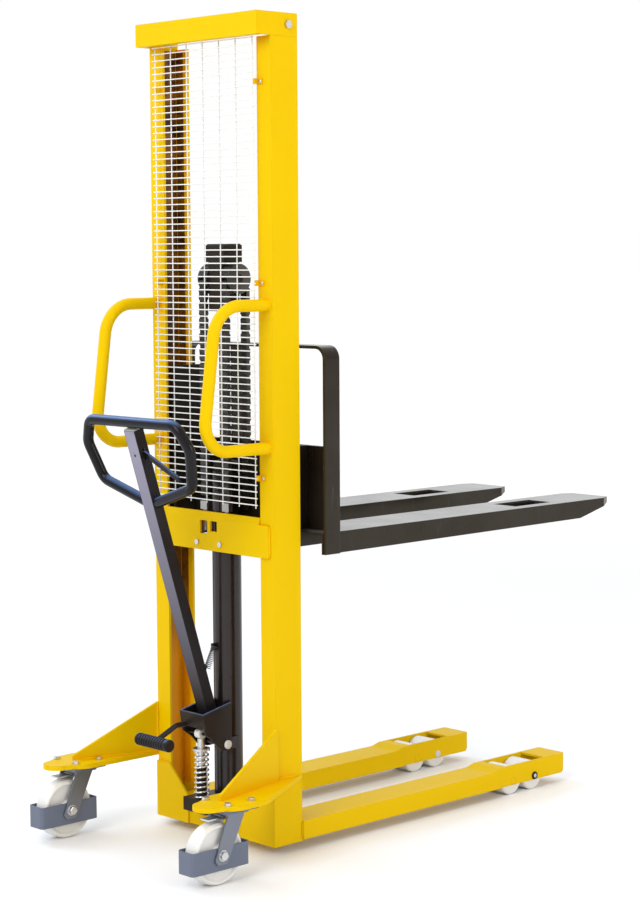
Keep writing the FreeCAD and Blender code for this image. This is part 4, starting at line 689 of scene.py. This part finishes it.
# Small fittings
SMALL_SIDES = 16
HEAD_SIDES = 28
RING_SIDES = 32
HEX_SIDES = 6
HEX_STRAIGHT = 0.82
HEX_CROWN = 0.86
WASHER_STRAIGHT = 0.7
WASHER_ROUND = 0.3


def fitting(name, meshes, material, body, smooth=True):
    bm = bmesh.new()
    for mesh in meshes:
        bm.from_mesh(mesh)
    piece = new_piece(name, mesh_from(bm, name, smooth), material)
    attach(piece, body)


def hex_head(centre, axis, across, height):
    """A hexagon head with its top corners turned off."""
    corner = across / math.sqrt(3)
    profile = [(0, corner), (height * HEX_STRAIGHT, corner), (height, corner * HEX_CROWN)]
    return lathe_mesh("hex_head", profile, centre, axis, HEX_SIDES)


def washer(centre, axis, radius, thick):
    profile = [(0, radius), (thick * WASHER_STRAIGHT, radius), (thick, radius - thick * WASHER_ROUND)]
    return lathe_mesh("washer", profile, centre, axis, HEAD_SIDES)


BEAD_STEP = 1.6
BEAD_LEAST_STEPS = 6
BEAD_END_SHARE = 0.35
BEAD_END_SLOPE = 4
BEAD_ANGLES = [math.radians(angle) for angle in range(-30, 211, 40)]


def weld_mesh(start, end, radius, normal):
    """A rippled weld bead from start to end, heaped towards normal."""
    along = (end - start).normalized()
    normal = Vector(normal).normalized()
    across = along.cross(normal)
    steps = max(BEAD_LEAST_STEPS, int((end - start).length / (BEAD_STEP * MM)))
    bm = bmesh.new()
    rings = []
    for index in range(steps + 1):
        share = index / steps
        ripple = 1 + 0.16 * math.sin(index * 2.1) + 0.07 * math.sin(index * 0.73 + 1.3)
        taper = min(1, BEAD_END_SLOPE * min(share, 1 - share) + BEAD_END_SHARE)
        size = radius * MM * ripple * taper
        centre = start.lerp(end, share)
        rings.append([bm.verts.new(centre + (across * math.cos(angle) + normal * math.sin(angle)) * size)
                      for angle in BEAD_ANGLES])
    return skinned(bm, rings, "bead")


# Caster axle: zinc head, nut and washers, and the wheel's bearing rings
CASTER_X = 298
AXLE_Y = -263
AXLE_Z = 75
FORK_OUTSIDE = 34.3
AXLE_WASHER = (14, 2)
AXLE_SEAT = 1.8
AXLE_ACROSS = 19.6
AXLE_HEAD_H = 7
AXLE_NUT_H = 9
BEARING_OUTSIDE = 24.6
BEARING_PROFILE = ((0, 9.5), (0, 17.5), (1.2, 17.5), (1.2, 9.5))


def caster_fittings(label, sign):
    ends = []
    for way, height in ((sign, AXLE_HEAD_H), (-sign, AXLE_NUT_H)):
        axis = Vector((way, 0, 0))
        seat = at(sign * CASTER_X + way * FORK_OUTSIDE, AXLE_Y, AXLE_Z)
        ends += [washer(seat, axis, *AXLE_WASHER),
                 hex_head(seat + axis * AXLE_SEAT * MM, axis, AXLE_ACROSS, height)]
    fitting(f"caster_axle_ends_{label}", ends, ZINC, f"caster_{label}", smooth=False)
    rings = [lathe_mesh("ring", BEARING_PROFILE, at(sign * CASTER_X + way * BEARING_OUTSIDE, AXLE_Y, AXLE_Z),
                        (way, 0, 0), RING_SIDES) for way in (-1, 1)]
    fitting(f"wheel_bearings_{label}", rings, ZINC, f"caster_wheel_{label}")


# Weld beads of the mast's foot, caster arm, cross plate and legs, and round the grab handles' ends
PAD_Z = 195
PAD_INSET = 10
PAD_Y = -237
GUSSET_Z = 324
FOOT_TOP_Z = 169
FOOT_X = (181, 229)
CROSS_END_X = 215
CROSS_Z = (750, 828)
BASE_END_X = 180
BASE_Z = (24, 84)
LEG_SIDE_Z = (30, 76)
LEG_TOP_Z = 75
LEG_TOP_X = (140, 230)
HANDLE_X = 210
HANDLE_Z = (1373, 1022)
COLLAR_R = 15.4
COLLAR_BEAD_R = 2.6
COLLAR_STEPS = 24
BEAD_R = 4
FINE_BEAD_R = 3.5
PROUD = -0.5


def mast_welds(label, sign):
    side_x = sign * MAST_HALF
    beads = [weld_mesh(at(side_x, -1, PAD_Z), at(sign * (CASTER_X - PAD_INSET), PAD_Y, PAD_Z), BEAD_R,
                       (-sign * 0.6, -0.1, 0.8)),
             weld_mesh(at(side_x, 0, PAD_Z), at(side_x, MAST_DEPTH - 2, PAD_Z), BEAD_R, (sign, 0, 0.8)),
             weld_mesh(at(side_x, PROUD, PAD_Z + BEAD_R), at(side_x, PROUD, GUSSET_Z), BEAD_R,
                       (sign * 0.4, -1, 0)),
             weld_mesh(at(sign * FOOT_X[0], PROUD, FOOT_TOP_Z), at(sign * FOOT_X[1], PROUD, FOOT_TOP_Z),
                       FINE_BEAD_R, (0, -0.7, 1)),
             weld_mesh(at(sign * CROSS_END_X, -1, CROSS_Z[0]), at(sign * CROSS_END_X, -1, CROSS_Z[1]), BEAD_R,
                       (sign, -0.6, 0)),
             weld_mesh(at(sign * BASE_END_X, 2, BASE_Z[0]), at(sign * BASE_END_X, 2, BASE_Z[1]), FINE_BEAD_R,
                       (-sign, -1, 0)),
             weld_mesh(at(side_x, MAST_DEPTH, LEG_SIDE_Z[0]), at(side_x, MAST_DEPTH, LEG_SIDE_Z[1]),
                       FINE_BEAD_R, (sign, 0.6, 0)),
             weld_mesh(at(sign * LEG_TOP_X[0], MAST_DEPTH, LEG_TOP_Z),
                       at(sign * LEG_TOP_X[1], MAST_DEPTH, LEG_TOP_Z), FINE_BEAD_R, (0, 0.6, 1))]
    angles = [2 * math.pi * step / COLLAR_STEPS for step in range(COLLAR_STEPS + 1)]
    for z in HANDLE_Z:
        collar = [at(sign * HANDLE_X + COLLAR_R * math.cos(angle), PROUD, z + COLLAR_R * math.sin(angle))
                  for angle in angles]
        beads.append(tube_mesh("collar", collar, COLLAR_BEAD_R * MM, WIRE_SIDES))
    fitting(f"weld_beads_{label}", beads, YELLOW, "mast")


# Weld beads where the fork, the front plate and the backrest meet
FRONT_PLATE_Y = 177
FORK_X = (115, 273)
FORK_TOP_Z = 805
HOOP_X = 274
HOOP_Z = (812, 1010)
BAR_X = 73
BAR_HALF = 4
BAR_Z = 1017
HOOP_BEAD_R = 3


def fork_welds(label, sign):
    seat_y = FRONT_PLATE_Y + 2
    beads = [weld_mesh(at(sign * FORK_X[0], seat_y, FORK_TOP_Z), at(sign * FORK_X[1], seat_y, FORK_TOP_Z),
                       BEAD_R, (0, 0.8, 1)),
             weld_mesh(at(sign * HOOP_X, FRONT_PLATE_Y, HOOP_Z[0]),
                       at(sign * HOOP_X, FRONT_PLATE_Y, HOOP_Z[1]), HOOP_BEAD_R, (0, 1, 0)),
             weld_mesh(at(sign * BAR_X + BAR_HALF, FRONT_PLATE_Y, BAR_Z),
                       at(sign * BAR_X - BAR_HALF, FRONT_PLATE_Y, BAR_Z), HOOP_BEAD_R, (0, 1, 0.5))]
    fitting(f"fork_welds_{label}", beads, FORK_BLACK, "carriage")


# Upper ends of the carriage's side plates
SIDE_PLATE_X = 170
SIDE_PLATE_HALF_T = 5
SIDE_PLATE_Y = (15, 125)
SIDE_PLATE_TOP_Z = (1167, 1213)
SIDE_PLATE_ROUND = 1.5


def side_plate_top(label, sign):
    low = at(sign * SIDE_PLATE_X - SIDE_PLATE_HALF_T, SIDE_PLATE_Y[0], SIDE_PLATE_TOP_Z[0])
    high = at(sign * SIDE_PLATE_X + SIDE_PLATE_HALF_T, SIDE_PLATE_Y[1], SIDE_PLATE_TOP_Z[1])
    upper = bmesh.new()
    bmesh.ops.create_cube(upper, size=1)
    for vert in upper.verts:
        vert.co = Vector([low[k] + (vert.co[k] + 0.5) * (high[k] - low[k]) for k in range(3)])
    crest = [edge for edge in upper.edges if all(vert.co.z > high.z - MM for vert in edge.verts)]
    bmesh.ops.bevel(upper, geom=crest, offset=SIDE_PLATE_ROUND * MM, segments=2, affect="EDGES")
    fitting(f"side_plate_top_{label}", [mesh_from(upper, "upper")], BLACK, "carriage",
            smooth=False)


# Ends of the load rollers' axles: painted over at the rear, a dark pressed head at the front
LEG_MID = 185.65
BOX_SIDE = 47.9
LOAD_AXLE_Z = 40
REAR_AXLE_Y = 885
FRONT_AXLE_Y = 973
PAINTED_END = ((0, 11), (0.5, 11), (0.8, 9.5))
PRESSED_HEAD = ((0, 11.5), (1.2, 11.5), (3.2, 10), (3.6, 6), (2.4, 4.5))


def load_axle_ends(label, sign):
    ends = [lathe_mesh("end", PAINTED_END, at(sign * (LEG_MID + way * BOX_SIDE), REAR_AXLE_Y, LOAD_AXLE_Z),
                       (sign * way, 0, 0), HEAD_SIDES) for way in (1, -1)]
    fitting(f"axle_paint_{label}", ends, YELLOW, "mast")
    head = lathe_mesh("head", PRESSED_HEAD, at(sign * (LEG_MID + BOX_SIDE), FRONT_AXLE_Y, LOAD_AXLE_Z),
                      (sign, 0, 0), HEAD_SIDES)
    fitting(f"axle_heads_{label}", [head], BLACK, "mast")


# Screws of the guard's clips, at shares of the guard's height
CLIP_X = 196
CLIP_FACE_Y = -2.5
CLIP_SPAN = 1151.5
CLIP_SHARES = (0.065, 0.482, 0.906)
SCREW_HEAD = ((0, 5), (1.6, 4.8), (2.8, 3.2), (3.1, 0.6))


def clip_screws(label, sign):
    heads = [lathe_mesh("head", SCREW_HEAD, at(sign * CLIP_X, CLIP_FACE_Y, GUARD_Z0 + share * CLIP_SPAN),
                        (0, -1, 0), SMALL_SIDES) for share in CLIP_SHARES]
    fitting(f"clip_screws_{label}", heads, ZINC, "mast")


# Grease left by the rollers inside the channel, on its web and on its flanges beside the web; lower down the
# same sheet carries painted orange bounce light instead
TRACK_Z = (100, 2020)
TRACK_SHEET_T = 0.2
WEB_INSET = 7.3
BAND_INSET = 35
WEB_Y = (9, 79)
FLANGE_Y = (7.25, 80.75)


def track_grease_and_painted_bounce(label, sign):
    web_x = sign * (MAST_HALF - WEB_INSET)
    band_x = sign * (MAST_HALF - BAND_INSET)
    strips = (((web_x, WEB_Y[0]), (web_x, WEB_Y[1]), (sign * TRACK_SHEET_T, 0)),
              ((web_x, FLANGE_Y[1]), (band_x, FLANGE_Y[1]), (0, TRACK_SHEET_T)),
              ((band_x, FLANGE_Y[0]), (web_x, FLANGE_Y[0]), (0, -TRACK_SHEET_T)))
    track = bmesh.new()
    for (x0, y0), (x1, y1), (dx, dy) in strips:
        outline = ((x0, y0, TRACK_Z[0]), (x1, y1, TRACK_Z[0]), (x1, y1, TRACK_Z[1]), (x0, y0, TRACK_Z[1]))
        add_skin(track, [[track.verts.new(at(x + dx * layer, y + dy * layer, z)) for x, y, z in outline]
                         for layer in (0, 1)])
    bmesh.ops.recalc_face_normals(track, faces=track.faces)
    fitting(f"track_grease_and_painted_bounce_{label}", [mesh_from(track, "track")], GREASE_AND_PAINTED_BOUNCE, "mast",
            smooth=False)


for label, sign in SIDES:
    caster_fittings(label, sign)
    mast_welds(label, sign)
    fork_welds(label, sign)
    side_plate_top(label, sign)
    load_axle_ends(label, sign)
    clip_screws(label, sign)
    track_grease_and_painted_bounce(label, sign)

# Pale plug in the tiller tube's upper end: height past the tube's end, half width and half depth
TUBE_END = 856
PLUG_RINGS = ((-2, 16.5, 11.5), (0.2, 16.5, 11.5), (0.2, 19.5, 14.5), (2.4, 19.5, 14.5), (3.4, 18, 13))
PLUG_CORNERS = ((-1, -1), (1, -1), (1, 1), (-1, 1))


def make_tube_plug():
    plug = bmesh.new()
    rings = [[plug.verts.new(on_tiller(x * half_x, TUBE_END + along, off * half_off))
              for x, off in PLUG_CORNERS] for along, half_x, half_off in PLUG_RINGS]
    fitting("tube_plug", [skinned(plug, rings, "plug")], PLUG_GREY, "tiller", smooth=False)


# White end caps of the tiller's pivot pin
PIVOT_END_X = 48.1
PIVOT_CAP = ((0, 11.3), (3.6, 11.3), (5, 9.5), (5.6, 5), (5.7, 0.5))


def make_pivot_caps():
    caps = [lathe_mesh("cap", PIVOT_CAP, at(way * PIVOT_END_X, 0, PIVOT_Z), (way, 0, 0), RING_SIDES)
            for way in (-1, 1)]
    fitting("pivot_caps", caps, NYLON, "mast")


make_tube_plug()
make_pivot_caps()

# Floor, which brightens away from the object until it meets the backdrop
FLOOR_R = 120.0
FLOOR_COLOUR = (0.90, 0.90, 0.90, 1)
FLOOR_ROUGHNESS = 0.55
FLOOR_SEGMENTS = 96
GLOW_REACH = (2.0, 9.0)
GLOW = 0.25


def make_floor():
    bm = bmesh.new()
    bmesh.ops.create_circle(bm, cap_ends=True, radius=FLOOR_R, segments=FLOOR_SEGMENTS)
    floor = bpy.data.objects.new("floor", mesh_from(bm, "floor", smooth=False))
    SCENE.collection.objects.link(floor)
    look = bpy.data.materials.new("pale_floor")
    look.use_nodes = True
    tree = look.node_tree
    shader = tree.nodes["Principled BSDF"].inputs
    shader["Base Color"].default_value = FLOOR_COLOUR
    shader["Roughness"].default_value = FLOOR_ROUGHNESS
    shader["Emission Color"].default_value = (1, 1, 1, 1)
    reach = add_node(tree, "ShaderNodeVectorMath", operation="LENGTH")
    tree.links.new(add_node(tree, "ShaderNodeTexCoord").outputs["Object"], reach.inputs[0])
    glow = ranged(tree, reach.outputs["Value"], *GLOW_REACH, "SMOOTHSTEP")
    glow.node.inputs["To Max"].default_value = GLOW
    tree.links.new(glow, shader["Emission Strength"])
    floor.data.materials.append(look)


make_floor()

# Backdrop: white where it is seen, and dimmer to the right in what it lights
SKY_RANGE = (-0.45, 0.9)
SKY_LEFT = (0.97, 0.97, 0.97)
SKY_RIGHT = (0.55, 0.54, 0.53)


def make_backdrop():
    world = bpy.data.worlds.new("studio")
    SCENE.world = world
    world.use_nodes = True
    sky = world.node_tree
    side = add_node(sky, "ShaderNodeSeparateXYZ")
    sky.links.new(add_node(sky, "ShaderNodeTexCoord").outputs["Generated"], side.inputs["Vector"])
    lit = mixed(sky, ranged(sky, side.outputs["X"], *SKY_RANGE, "SMOOTHSTEP"), SKY_LEFT, SKY_RIGHT)
    seen = add_node(sky, "ShaderNodeLightPath").outputs["Is Camera Ray"]
    sky.links.new(mixed(sky, seen, lit, (1, 1, 1)), sky.nodes["Background"].inputs["Color"])


make_backdrop()


# Lights
def soft_light(name, place, target, size, power, colour=(1, 1, 1)):
    data = bpy.data.lights.new(name, "AREA")
    data.shape = "RECTANGLE"
    data.size, data.size_y = size
    data.energy = power
    data.color = colour
    lamp = bpy.data.objects.new(name, data)
    lamp.location = place
    aim = Vector(target) - Vector(place)
    lamp.rotation_euler = aim.to_track_quat("-Z", "Y").to_euler()
    SCENE.collection.objects.link(lamp)


soft_light("key", (1.5, -5.0, 4.2), (0, -0.2, 0.9), (3.0, 3.0), 165)
soft_light("side", (5.5, 1.0, 2.6), (0, 0, 0.9), (2.5, 3.0), 110)
soft_light("top", (0.0, 0.5, 5.5), (0, 0, 0.5), (4.0, 4.0), 50)
soft_light("window", (-3.8, -1.0, 4.2), (0, -0.3, 1.0), (0.8, 3.5), 90, (0.5, 0.7, 1.0))

# Camera: the photograph's view
EYE = at(4147.6, -3542.1, 1495.3)
YAW = math.radians(46.64)
PITCH = math.radians(5.32)
ROLL = math.radians(0.33)
FOCAL_PX = 2161.96
FRAME_H_PX = 912
SENSOR = 36.0


def make_camera():
    ahead = Vector((-math.sin(YAW) * math.cos(PITCH), math.cos(YAW) * math.cos(PITCH), -math.sin(PITCH)))
    level = Vector((math.cos(YAW), math.sin(YAW), 0))
    below = ahead.cross(level)
    right = level * math.cos(ROLL) + below * math.sin(ROLL)
    down = below * math.cos(ROLL) - level * math.sin(ROLL)
    data = bpy.data.cameras.new("camera")
    data.sensor_width = SENSOR
    data.lens = FOCAL_PX / FRAME_H_PX * SENSOR
    camera = bpy.data.objects.new("camera", data)
    camera.matrix_world = Matrix.Translation(EYE) @ Matrix((right, -down, -ahead)).transposed().to_4x4()
    SCENE.collection.objects.link(camera)
    SCENE.camera = camera


make_camera()
